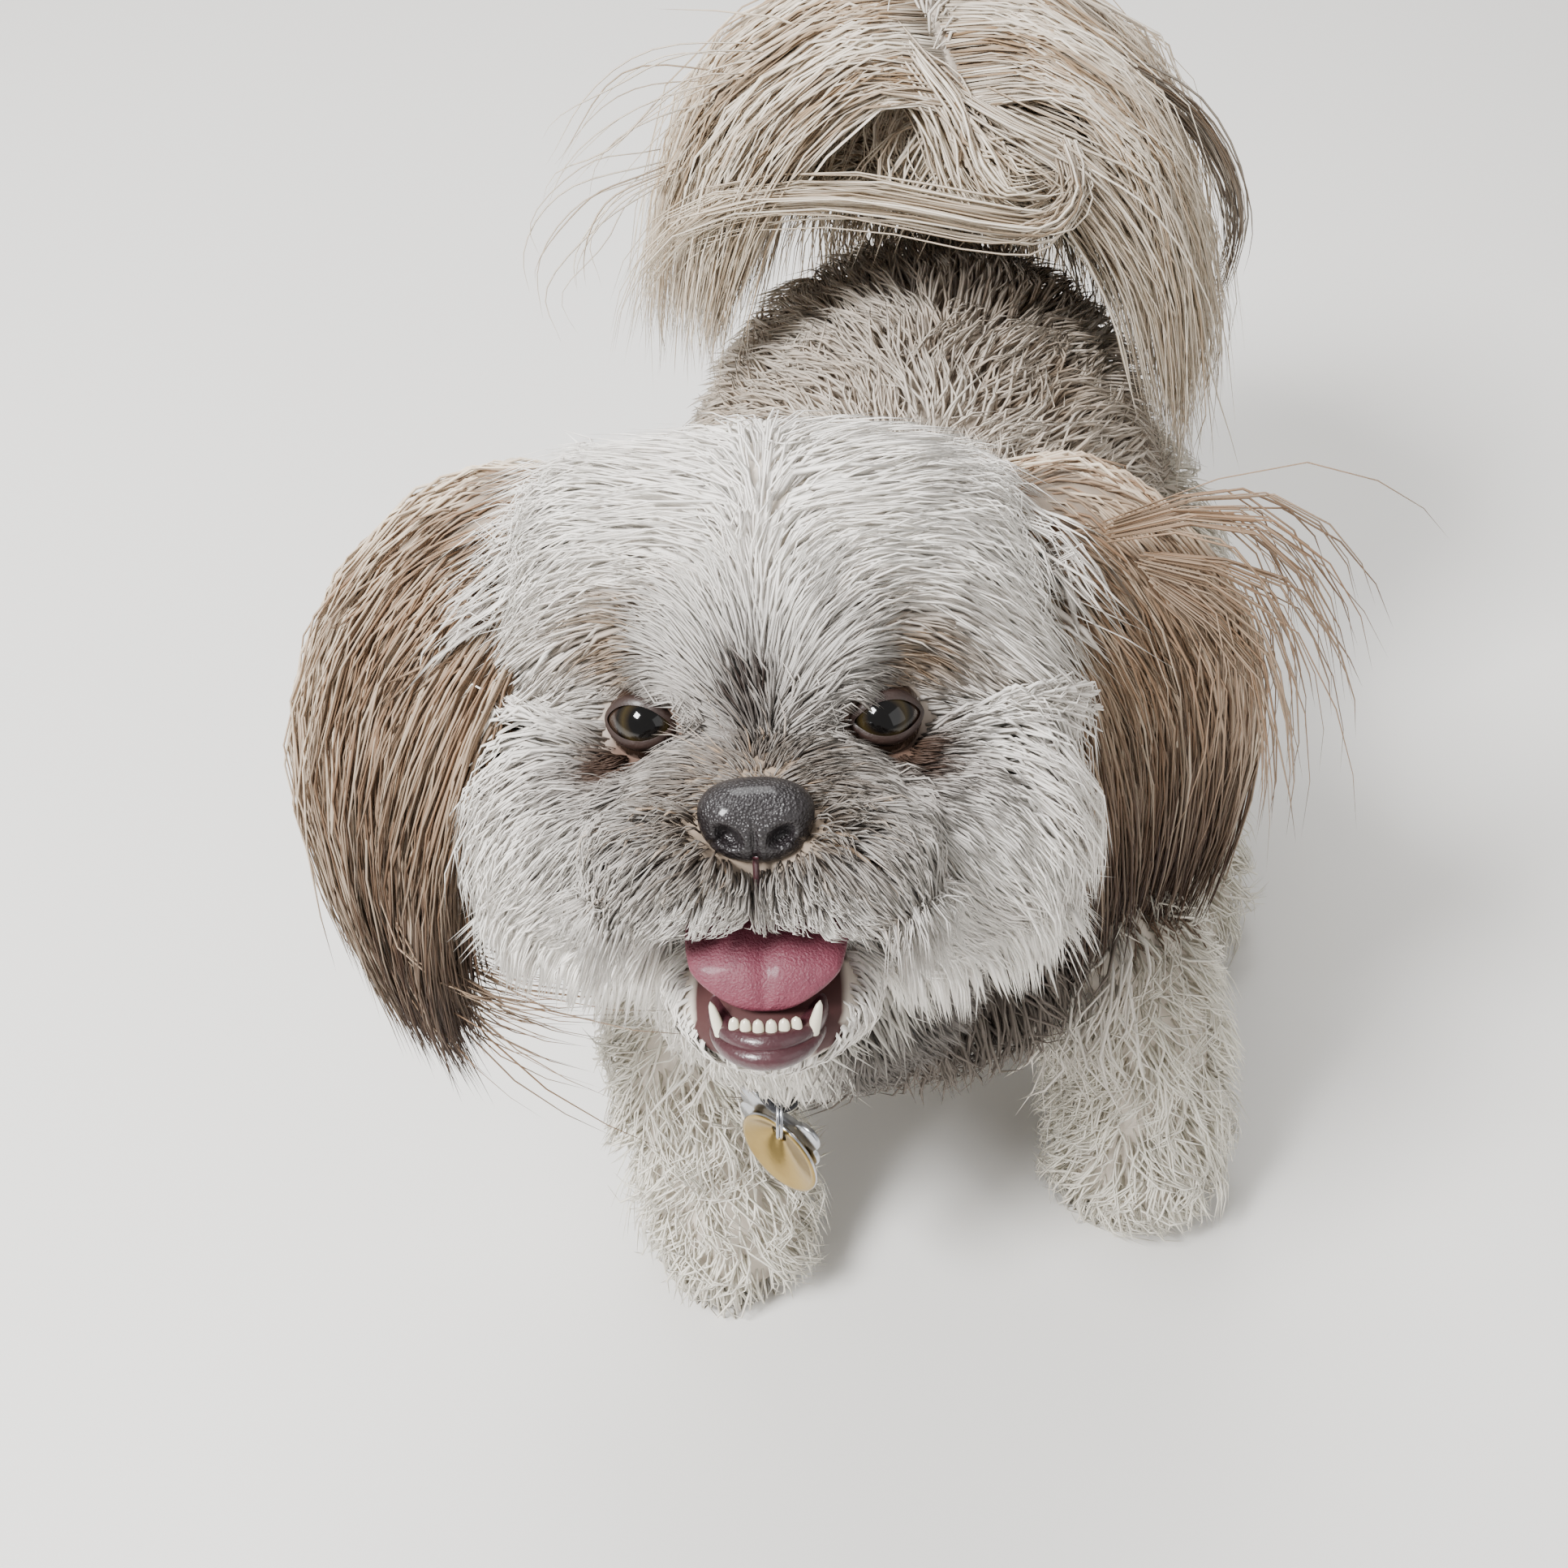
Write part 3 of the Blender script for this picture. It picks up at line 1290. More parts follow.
@dataclass
class SkinCoat:
    """A coat of tufts that follows the skin: how many, how long, how fine and how tousled."""

    name: str
    regions: tuple[Region, ...]
    count: int
    length: tuple[float, float]
    width: tuple[float, float]
    lift: float
    tousle: float
    wave: float
    finish: HairFinish
    slot: str
    steps: int = 6
    clumps: float = 0.08
    pull: float = 0.6
    seed: int = 0
    fluff: float = 0.0
    flat: float = 0.45
    chosen: Optional[Callable] = None

    def weight(self, points: Array, label: Array, along: Array, turn: Array, normal: Array) -> Array:
        """Gives the density of this coat's roots over the skin."""
        dense = np.isin(label, [region.value for region in self.regions]).astype(float)
        dense[bare_face(points) & np.isin(label, [Region.HEAD.value, Region.JAW.value])] = 0
        dense[(points[:, 2] < 4) & (normal[:, 2] < -0.5)] = 0
        if self.chosen:
            dense *= self.chosen(points)
        face = to_head(points)
        face[:, 0] = np.abs(face[:, 0])
        return dense * (1 + 1.2 * bell(face, (30, 42, 17), (17, 18, 17)))

    def grow(self, skin: Skin) -> Tufts:
        """Grows the tufts step by step over the skin.

        Args:
            skin: The skin that carries them.

        Returns:
            The tufts.
        """
        rng = np.random.default_rng(SEED + self.seed)
        roots, normals, near = skin.scatter(self.count, self.weight, rng)
        label, along, turn = (values[near] for values in skin.place)
        on_head = label == Region.HEAD.value
        length = rng.uniform(*self.length, self.count)
        length += self.fluff * smooth(-120, -168, roots[:, 1]) * smooth(170, 130, roots[:, 2])
        length += self.fluff * smooth(60, 110, roots[:, 1]) * smooth(165, 205, roots[:, 2])
        short = head_length(roots)
        length = np.where(on_head, short * rng.uniform(0.8, 1.2, self.count), length)
        angle = rng.normal(0, self.tousle, self.count)
        bend = rng.normal(0, self.wave, self.count)
        lines = np.empty((self.count, self.steps, 3))
        lines[:, 0] = roots - normals * 1.5
        spot, normal = roots.copy(), normals.copy()
        hangs = np.zeros(self.count, bool)
        rise = self.lift * rng.uniform(0.7, 1.3, self.count)
        rise = np.where(on_head, rise * (1 + 0.7 * smooth(40, 62, np.abs(to_head(roots)[:, 0]))), rise)
        for k in range(1, self.steps):
            s = k / (self.steps - 1)
            flow = comb_trunk(spot, label, along, turn)
            flow = np.where(on_head[:, None], comb_head(spot), flow)
            flow = flow - normal * (flow * normal).sum(-1, keepdims=True)
            flow = unit(flow)
            turned = angle + bend * (k - 1)
            c, si = np.cos(turned)[:, None], np.sin(turned)[:, None]
            flow = flow * c + np.cross(normal, flow) * si
            step = length * math.cos(math.atan(self.lift)) / (self.steps - 1)
            spot, normal = skin.nearest(spot + flow * step[:, None])
            height = length * rise * s**0.85
            height = height + np.where(on_head, head_fill(spot), 0) * smooth(0.0, 0.6, s)
            lines[:, k] = spot + normal * height[:, None]
            hangs |= on_head & (normal[:, 2] < -0.5) & (flow[:, 2] < -0.3) & (k > 1)
            last = unit(lines[:, k - 1] - lines[:, max(k - 2, 0)] + 1e-6)
            fall = lines[:, k - 1] + unit(last * 0.8 + np.array([0.0, -0.1, -0.6])) * step[:, None]
            lines[:, k] = np.where(hangs[:, None], fall, lines[:, k])
        marks = markings(roots, label, along)
        vary = rng.random(self.count)
        width = rng.uniform(*self.width, self.count)
        width = np.where(on_head, width * (0.55 + 0.45 * smooth(6, 22, length)), width)
        tufts = Tufts(lines, normals, width, chart(label, along, turn), marks, vary, self.flat)
        tufts.clump(self.clumps, self.pull, rng)
        return tufts

    def build(self, skin: Skin, groups: dict[str, bpy.types.NodeTree]) -> bpy.types.Object:
        """Grows the coat, dresses it and lets it ride the dog."""
        made = self.grow(skin).mesh(self.name, self.finish.material(groups))
        attach(made, self.slot)
        return made


@dataclass
class EarCoat:
    """The long hair of one ear: rows from the leather that hang past its end, with loose strands."""

    name: str
    region: Region
    finish: HairFinish
    strands: list[list[list[float]]]
    inner: float = 0.2
    blond: float = 0.5
    count: int = 3400
    steps: int = 6
    width: tuple[float, float] = (0.9, 1.7)
    seed: int = 0

    def build(self, groups: dict[str, bpy.types.NodeTree]) -> bpy.types.Object:
        """Grows the hair of the ear.

        Args:
            groups: The shared node groups.

        Returns:
            The piece.
        """
        rng = np.random.default_rng(SEED + self.seed)
        limb = LIMBS[self.region]
        outward = EAR_OUTWARD[self.region]
        n = self.count
        start = rng.uniform(0.0, 0.62, n) ** 1.1
        inner = rng.random(n) < 0.3
        reach = np.where(inner, rng.uniform(0.8, 0.98, n), rng.uniform(0.86, 1.1, n))
        end = np.minimum(reach, start + rng.uniform(0.42, 0.75, n))
        u = rng.uniform(-0.98, 0.98, n)
        over = np.where(inner, -1, 1) * rng.uniform(2, 8.5, n)
        s = np.linspace(0, 1, self.steps)
        t = start[:, None] + (end - start)[:, None] * s[None]
        centre, ahead, side, up, half = limb.frames(np.clip(t, 0, 1).ravel())
        shape = (n, self.steps)
        widen = 1 + self.inner * np.sin(math.pi * np.clip(t, 0, 1)) * (u[:, None] < 0)
        spread = (u[:, None] * widen * (1 + 0.06 * np.sin(s * 3 + u[:, None] * 9))).ravel()
        lift = (np.sin(np.clip(s * 1.15, 0, 1) * math.pi * 0.62)[None] * over[:, None]).ravel() * outward
        lines = centre + side * (spread * half[:, 0])[:, None] + up * lift[:, None]
        lines += ahead * (np.maximum(t.ravel() - 1, 0) * 100)[:, None]
        lines = lines.reshape(*shape, 3)
        wave = np.sin(s[None] * rng.uniform(3, 8, (n, 1)) + rng.uniform(0, 6.3, (n, 1))) * s[None] * 2.4
        lines += side.reshape(*shape, 3) * wave[..., None]
        lines += rng.normal(0, 1, (n, 1, 3)) * (s[None, :, None] ** 2) * 3.5
        out = up.reshape(*shape, 3)[:, 0] * outward
        label = np.full(n, self.region.value)
        marks = markings(lines[:, 0], label, start)
        low = smooth(0.35, 0.95, t)
        blond = (smooth(0.2, 0.9, u) * self.blond)[:, None] * (1 - 0.45 * low)
        own = rng.normal(0, 0.14, (n, 1))
        marks.dark = np.clip(0.06 + 0.85 * low - 0.6 * blond + own, 0, 1)
        marks.mid = np.clip(0.3 + 0.6 * smooth(0.0, 0.4, t) - 0.5 * blond + 1.4 * own, 0, 1)
        spots = chart(label, start, np.arccos(u) * np.where(inner, -1, 1))
        tufts = Tufts(lines, out, rng.uniform(*self.width, n), spots, marks, rng.random(n))
        tufts.clump(0.05, 0.55, rng)
        piece = tufts.mesh(self.name, self.finish.material(groups))
        attach(piece, "coat_ears")
        return piece

    def loose(self, groups: dict[str, bpy.types.NodeTree]) -> bpy.types.Object:
        """Grows the loose strands that the wind takes from the ear."""
        rng = np.random.default_rng(SEED + self.seed + 50)
        per = 34
        s = np.linspace(0, 1, self.steps)
        lines = []
        for route in self.strands:
            path = spline(np.array(route, float), s)
            wide = rng.normal(0, 1, (per, 1, 3)) * (1.5 + 9 * s[None, :, None] ** 1.3)
            reach = rng.uniform(0.7, 1.05, (per, 1, 1))
            lines.append(path[0] + (path[None] - path[0]) * reach + wide)
        lines = np.vstack(lines)
        n = len(lines)
        label = np.full(n, self.region.value)
        marks = markings(lines[:, 0], label, np.full(n, 0.3))
        marks.dark = rng.uniform(0, 0.35, n)
        out = np.tile(unit(np.array([0, -1, 0.3])), (n, 1))
        spots = chart(label, np.full(n, 0.3), rng.uniform(0, 6.2, n))
        tufts = Tufts(lines, out, rng.uniform(0.4, 0.9, n), spots, marks, rng.random(n))
        piece = tufts.mesh(self.name + "_loose", self.finish.material(groups))
        attach(piece, "coat_ears")
        return piece


@dataclass
class PlumeCoat:
    """The plume: long hair that parts along the tail bone and falls to both sides over the back."""

    finish: HairFinish
    count: int = 3200
    steps: int = 7
    lock_steps: int = 13
    width: tuple[float, float] = (1.0, 1.9)

    def half(self, sign: float, groups: dict[str, bpy.types.NodeTree]) -> bpy.types.Object:
        """Grows one side of the plume.

        Args:
            sign: -1 for the dog's right, 1 for its left.
            groups: The shared node groups.

        Returns:
            The piece.
        """
        rng = np.random.default_rng(SEED + 700 + int(sign))
        bone = LIMBS[Region.TAIL]
        n = self.count
        t = rng.uniform(0.06, 0.98, n)
        a = np.clip((t - 0.14) / 0.74, 0, 1)
        turn = rng.uniform(-0.3, 1.5, n)
        turn = np.where(sign > 0, turn, math.pi - turn)
        root, _ = bone.surface(t, turn, -2.5)
        y = 172 + (28 - 172) * a + rng.normal(0, 9, n)
        bulge = np.sin(math.pi * np.minimum(1, 0.18 + a * 0.8))
        front = smooth(0.55, 0.95, a)
        layer = rng.uniform(0.38, 1.0, n) ** 0.8
        layer = layer + (1 - layer) * 0.85 * front
        far = (58 + 60 * bulge + 24 * front) * layer + rng.normal(0, 4, n)
        low = 176 + 28 * a + rng.normal(0, 13, n) + (1 - layer) * 40
        low += 30 * front if sign < 0 else -16 + 0 * a
        centre = bone.frames(t)[0]
        ways = np.stack([
            root,
            np.column_stack([
                centre[:, 0] + sign * 30 * layer,
                centre[:, 1] * 0.7 + y * 0.3,
                centre[:, 2] + 9 * layer,
            ]),
            np.column_stack([
                centre[:, 0] + sign * far * 0.76,
                centre[:, 1] * 0.3 + y * 0.7,
                centre[:, 2] * 0.6 + 116 * layer + 20 * (1 - layer),
            ]),
            np.column_stack([sign * far, y, (low + 272) / 2]),
            np.column_stack([sign * (far + 2), y, low]),
        ], axis=1)
        cut = rng.uniform(0.5, 1.0, n) ** 0.8
        s = np.linspace(0, 1, self.steps)
        lines = np.stack([spline(ways[i], s * cut[i]) for i in range(n)])
        sway = np.sin(s[None] * rng.uniform(3, 9, (n, 1)) + rng.uniform(0, 6.3, (n, 1)))[..., None]
        lines += sway * rng.normal(0, 1, (n, 1, 3)) * s[None, :, None] * 2.6
        lines += rng.normal(0, 1, (n, 1, 3)) * (s[None, :, None] ** 2) * 4.5
        out = unit(np.column_stack([np.full(n, sign * 0.75), np.full(n, 0.1), np.full(n, 0.65)]))
        label = np.full(n, Region.TAIL.value)
        marks = markings(root, label, t)
        marks.mid = np.clip(0.55 + 0.3 * np.sin(t * 37 + sign) + rng.normal(0, 0.25, n), 0, 1)
        streak = bell(np.column_stack([t, t * 0, t * 0]), (0.62, 0, 0), (0.05, 1, 1)) if sign > 0 else 0 * t
        marks.dark = np.clip(0.5 * streak + rng.uniform(-0.3, 0.22, n), 0, 1)
        tufts = Tufts(lines, out, rng.uniform(*self.width, n), chart(label, t, turn), marks, rng.random(n))
        tufts.clump(0.05, 0.62, rng)
        piece = tufts.mesh("plume_" + ("left" if sign > 0 else "right"), self.finish.material(groups))
        attach(piece, "coat_tail")
        return piece

    def ends(self, groups: dict[str, bpy.types.NodeTree]) -> bpy.types.Object:
        """Grows the curl at the tip of the tail, the ridge along its top and the fall behind its root."""
        rng = np.random.default_rng(SEED + 790)
        bone = LIMBS[Region.TAIL]
        s = np.linspace(0, 1, self.steps)
        lines, roots = [], []
        for _ in range(200):
            t = rng.uniform(0.86, 1.0)
            end = bone.frames(np.array([t]))[0][0]
            k = rng.uniform(-1, 1)
            spread = rng.normal(0, 3, (4, 3)) + rng.normal(0, 3, 3)
            way = np.array([
                end, end + (4, -10 - 4 * k, -6), end + (12 + 4 * k, -18, -13 + 4 * k),
                end + (25 + 7 * k, -22, -13 + 6 * k),
            ])
            way[1:] += spread[1:]
            lines.append(spline(way, s * rng.uniform(0.6, 1.0)))
            roots.append(t)
        for _ in range(480):
            t = rng.uniform(0.05, 0.9)
            base, ahead, _, up, _ = (v[0] for v in bone.frames(np.array([t])))
            lean = rng.normal(0, 0.5)
            rise = rng.uniform(8, 15)
            way = np.array([
                base,
                base - up * rise * 0.5 + (10 * lean, 0, 4),
                base - ahead * 12 + (26 * lean, 0, rise * 0.5),
                base - ahead * 30 + (44 * lean, 0, -6),
            ])
            lines.append(spline(way, s))
            roots.append(t)
        for _ in range(1000):
            t = rng.uniform(0.02, 0.3)
            base = bone.frames(np.array([t]))[0][0]
            k = rng.uniform(-1.3, 1.3)
            drop = rng.uniform(0.55, 1.05)
            way = np.array([
                base,
                base + (30 * k, 14, 6),
                base + (54 * k, 24, -34 * drop),
                base + (64 * k, 20, -88 * drop),
            ]) + rng.normal(0, 2.5, 3) * np.array([[0], [0.4], [0.8], [1.2]])
            lines.append(spline(way, s))
            roots.append(t)
        for _ in range(560):
            t = rng.uniform(0.36, 0.97)
            base = bone.frames(np.array([t]))[0][0]
            k = rng.uniform(-1, 1)
            drop = rng.uniform(34, 66)
            way = np.array([
                base, base + (26 * k, 2, -8), base + (44 * k, -2, -0.55 * drop), base + (52 * k, -4, -drop),
            ]) + rng.normal(0, 2.5, 3) * np.array([[0], [0.4], [0.8], [1.2]])
            lines.append(spline(way, s))
            roots.append(t)
        lines = np.array(lines)
        n = len(lines)
        label = np.full(n, Region.TAIL.value)
        marks = markings(lines[:, 0], label, np.array(roots))
        marks.mid = np.clip(0.45 + rng.normal(0, 0.2, n), 0, 1)
        marks.dark = np.clip(rng.uniform(-0.3, 0.2, n), 0, 1)
        out = unit(lines[:, 2] - lines[:, 0] + np.array([0, 0, 20.0]))
        way = unit(lines[:, -1] - lines[:, 0])
        out = unit(np.cross(np.cross(way, out + 0.01), way))
        spots = chart(label, np.array(roots), rng.uniform(0, 6.2, n))
        tufts = Tufts(lines, out, rng.uniform(*self.width, n), spots, marks, rng.random(n))
        tufts.clump(0.06, 0.6, rng)
        piece = tufts.mesh("plume_ends", self.finish.material(groups))
        attach(piece, "coat_tail")
        return piece

    def locks(self, groups: dict[str, bpy.types.NodeTree]) -> bpy.types.Object:
        """Grows the long locks that edge the plume, the curl under its tip and the loose wisps."""
        rng = np.random.default_rng(SEED + 795)
        s = np.linspace(0, 1, self.lock_steps)
        lines, darks, wide = [], [], []
        for lock in PLUME_LOCKS:
            cut = rng.uniform(0.72, 1.0, (lock.count, 1))
            path = spline(np.array(lock.route, float), s[None] * cut)
            spread = rng.normal(0, 1, (lock.count, 1, 3)) * lock.spread
            spread = spread * (0.35 + 0.65 * np.sin(math.pi * (0.1 + 0.8 * s)) + 0.5 * s**3)[None, :, None]
            pace = rng.uniform(3, 10, (lock.count, 1))
            phase = rng.uniform(0, 6.3, (lock.count, 1))
            sway = np.sin(s[None] * pace + phase)[..., None]
            drift = rng.normal(0, 0.3, (lock.count, 1, 3))
            lines.append(path + spread + sway * drift * lock.spread)
            darks.append(np.full(lock.count, lock.dark))
            wide.append(np.full(lock.count, lock.width))
        lines, darks, wide = np.vstack(lines), np.concatenate(darks), np.concatenate(wide)
        n = len(lines)
        label = np.full(n, Region.TAIL.value)
        at = np.full(n, 0.9)
        marks = markings(lines[:, 0], label, at)
        marks.mid = np.clip(0.4 + rng.normal(0, 0.25, n), 0, 1)
        marks.dark = np.clip(darks + rng.normal(0, 0.1, n), 0, 1)
        out = np.tile(unit(np.array([0.0, -0.7, 0.7])), (n, 1))
        spots = chart(label, at, rng.uniform(0, 6.2, n))
        tufts = Tufts(lines, out, wide * rng.uniform(0.7, 1.2, n), spots, marks, rng.random(n))
        piece = tufts.mesh("plume_locks", self.finish.material(groups))
        attach(piece, "coat_tail")
        return piece


@dataclass
class Lock:
    """A bundle of long strands along one route, with its spread in mm and how dark it is."""

    route: list[tuple[float, float, float]]
    count: int
    spread: float = 4.0
    dark: float = 0.0
    width: float = 1.2


PLUME_LOCKS = [
    Lock(
        [(33, 21, 322), (37, 14, 310), (28, 10, 301), (9, 10, 302), (-37, 19, 306), (-84, 27, 295),
         (-106, 33, 268), (-116, 38, 232)],
        84, 2.8, 0.0, 1.0,
    ),
    Lock([(0, 42, 328), (20, 28, 320), (40, 25, 309), (64, 28, 275), (80, 34, 225), (94, 40, 180)], 150, 5.5),
    Lock(
        [(-23, 62, 343), (-14, 44, 336), (-4, 34, 326), (2, 25, 313), (10, 19, 304), (24, 14, 305)],
        120, 4.0,
    ),
    Lock([(-60, 60, 332), (-98, 58, 324), (-126, 54, 306), (-140, 50, 284)], 12, 7.0, 0.1, 0.7),
    Lock([(-96, 56, 300), (-124, 52, 290), (-140, 46, 270), (-138, 40, 250)], 10, 7.0, 0.1, 0.7),
    Lock([(40, 66, 336), (84, 72, 308), (104, 66, 272), (98, 56, 236)], 34, 2.4, 0.75, 1.0),
]


@dataclass
class Eyes:
    """The eyes that look at the viewer, with dark rims for lids."""

    radius: float = EYE_RADIUS
    iris: float = 42.0
    pupil: float = 21.0
    opening: tuple[float, float] = (8.2, 4.3)
    gaze_out: float = 14.0

    def centre(self, sign: float) -> Array:
        """Gives the middle of an eye in the head's frame."""
        return np.array([sign * EYE_SPOT[0], EYE_SPOT[1], EYE_SPOT[2]])

    def gaze(self, sign: float) -> Array:
        """Gives the way that an eye looks, towards where the photograph was taken."""
        straight = unit(to_head(np.array(CAMERA_PLACE)) - self.centre(sign))
        ahead = np.array([sign * math.sin(math.radians(self.gaze_out)), -1.0, 0.0])
        return unit(0.75 * straight + 0.25 * unit(ahead))

    def ball(self, sign: float, finish: bpy.types.Material) -> bpy.types.Object:
        """Builds one eyeball with a clear bulge over the iris."""
        theta, phi, faces = globe(64, 48)
        gaze = self.gaze(sign)
        side = unit(np.cross(gaze, np.array([0, 0, 1.0])))
        up = np.cross(side, gaze)
        way = (
            side * (np.sin(theta) * np.cos(phi))[:, None]
            + up * (np.sin(theta) * np.sin(phi))[:, None]
            + gaze * np.cos(theta)[:, None]
        )
        bulge = 0.5 * smooth(math.radians(self.iris + 6), 0.0, theta)
        points = self.centre(sign) + way * (self.radius + bulge)[:, None]
        made = new_mesh("eye_" + ("left" if sign > 0 else "right"), to_dog(points), faces, finish)
        point_attribute(made.data, "gaze", np.degrees(theta) / 90)
        point_attribute(made.data, "ray", np.cos(phi * 3) * 0.5 + 0.5)
        attach(made, "eye", "eye_l" if sign > 0 else "eye_r")
        return made

    def finish(self) -> bpy.types.Material:
        """Builds the eye's finish: pupil, olive-brown iris with a dark edge, and brown white."""
        made = bpy.data.materials.new("eye_glass")
        made.use_nodes = True
        nodes = Nodes(made.node_tree)
        shader = made.node_tree.nodes["Principled BSDF"]
        ramp = nodes.add("ShaderNodeValToRGB", {"Fac": nodes.attribute("gaze")})
        stops = (
            (0.0, "040303"), (self.pupil / 90, "050404"), (self.pupil / 90 + 0.04, "1A140C"),
            (0.36, "2E2614"), (self.iris / 90 - 0.04, "1C160D"), (self.iris / 90 + 0.02, "0A0706"),
            (0.56, "2E221B"), (1.0, "4A3A30"),
        )
        ramp.color_ramp.elements.remove(ramp.color_ramp.elements[1])
        for k, (spot, code) in enumerate(stops):
            element = ramp.color_ramp.elements[0] if k == 0 else ramp.color_ramp.elements.new(spot)
            element.position, element.color = spot, shade(code)
        made.node_tree.links.new(ramp.outputs["Color"], shader.inputs["Base Color"])
        shader.inputs["Roughness"].default_value = 0.08
        shader.inputs["Specular IOR Level"].default_value = 0.3
        shader.inputs["Coat Weight"].default_value = 0.35
        shader.inputs["Coat Roughness"].default_value = 0.03
        return made

    def lids(self, sign: float, finish: bpy.types.Material) -> bpy.types.Object:
        """Builds the rolled rim round one eye's opening."""
        around, rows = 72, 9
        ahead = unit(np.array([sign * math.sin(math.radians(self.gaze_out)), -1.0, 0.1]))
        side = unit(np.cross(ahead, np.array([0, 0, 1.0]))) * sign
        up = np.cross(side, ahead) * sign
        phi = np.arange(around) * 2 * math.pi / around
        c, s = np.cos(phi), np.sin(phi)
        squeeze = 1 - 0.42 * np.abs(c) ** 3
        edge_x = self.opening[0] * c
        edge_z = self.opening[1] * s * squeeze - 0.6 * c
        edge = np.hypot(edge_x, edge_z)
        open_angle = np.arcsin(np.clip(edge / self.radius, 0, 0.95))
        points = []
        for k in range(rows):
            f = k / (rows - 1)
            angle = open_angle + math.radians(30) * f
            radius = self.radius + 0.25 + 0.9 * math.sin(math.pi * min(1, f * 1.25 + 0.08)) - 1.0 * f
            way = (
                side * (np.sin(angle) * edge_x / edge)[:, None]
                + up * (np.sin(angle) * edge_z / edge)[:, None]
                + ahead * np.cos(angle)[:, None]
            )
            points.append(self.centre(sign) + way * radius)
        faces = [
            (
                k * around + j,
                k * around + (j + 1) % around,
                (k + 1) * around + (j + 1) % around,
                (k + 1) * around + j,
            )
            for k in range(rows - 1)
            for j in range(around)
        ]
        name = "eyelids_" + ("left" if sign > 0 else "right")
        made = new_mesh(name, to_dog(np.vstack(points)), faces, finish)
        attach(made, "coat_head")
        return made

    def build(self) -> None:
        """Builds both eyes and their lids."""
        finish = self.finish()
        rim = WetFinish("eyelid_skin", "1E1512", "3A2822", roughness=0.5, coat=0.1).material()
        for sign in (-1.0, 1.0):
            self.ball(sign, finish)
            self.lids(sign, rim)


@dataclass
class Nose:
    """The dark nose pad with its nostrils and the groove below."""

    form: tuple = NOSE_PAD
    nostril: tuple[float, float] = (6.4, -2.6)
    depth: float = 4.2

    def build(self) -> bpy.types.Object:
        """Builds the nose."""
        theta, phi, faces = globe(120, 90)
        way = np.column_stack([np.sin(theta) * np.cos(phi), -np.cos(theta), np.sin(theta) * np.sin(phi)])
        size = np.array(self.form[3:], float) + 0.2
        full = np.sign(way) * np.abs(way) ** 0.86
        points = full * size
        x, _, z = points.T
        top = 1 + 0.1 * np.clip(z / size[2], -1, 1)
        points[:, 0] = x * top
        front = smooth(0.0, 0.5, -way[:, 1])
        for sign in (-1, 1):
            dx = (points[:, 0] - sign * self.nostril[0]) / 2.9
            dz = (z - self.nostril[1] - 0.35 * (points[:, 0] * sign - self.nostril[0])) / 2.4
            hole = np.exp(-((dx**2 + dz**2) ** 1.6))
            slit_x = (points[:, 0] * sign - 10.4) / 2.8
            slit_z = (z + 4.0 + 0.5 * (points[:, 0] * sign - 9)) / 0.9
            slit = 0.45 * np.exp(-(slit_x**2 + slit_z**2))
            points[:, 1] += self.depth * (hole + slit) * front
            wing = np.exp(-(((points[:, 0] - sign * 8.5) / 4.5) ** 2 + ((z - 1.5) / 4.0) ** 2))
            points[:, 1] -= 0.8 * wing * front
        groove = np.exp(-((points[:, 0] / 0.9) ** 2)) * smooth(2.0, -3.0, z)
        points[:, 1] += 1.1 * groove * front
        points += np.array(self.form[:3])
        finish = WetFinish(
            "nose_leather", "110D0F", "231D1F", roughness=0.42, coat=0.35, scale=420, bump=0.75, cells=True
        ).material()
        made = new_mesh("nose_pad", to_dog(points), faces, finish)
        attach(made, "nose", "nose")
        return made


def tube(path: Array, radii: Array, around: int = 14, flat: float = 1.0) -> tuple[Array, list]:
    """Builds a round-ended tube along a path.

    Args:
        path: Points of its centre line.
        radii: Its radius at each point.
        around: Faces round it.
        flat: Its height as a share of its width.

    Returns:
        Points and faces.
    """
    ahead = unit(np.gradient(path, axis=0))
    up = np.tile([0.0, 0.0, 1.0], (len(path), 1))
    side = unit(np.cross(ahead, up))
    over = np.cross(side, ahead)
    turn = np.arange(around) * 2 * math.pi / around
    rings = (
        path[:, None]
        + side[:, None] * (np.cos(turn)[None, :] * radii[:, None])[..., None]
        + over[:, None] * (np.sin(turn)[None, :] * radii[:, None] * flat)[..., None]
    )
    faces = []
    for i in range(len(path) - 1):
        for j in range(around):
            n = (j + 1) % around
            a, b = i * around, (i + 1) * around
            faces.append((a + j, a + n, b + n, b + j))
    faces.append(tuple(range(around)))
    end = (len(path) - 1) * around
    faces.append(tuple(end + j for j in reversed(range(around))))
    return rings.reshape(-1, 3), faces


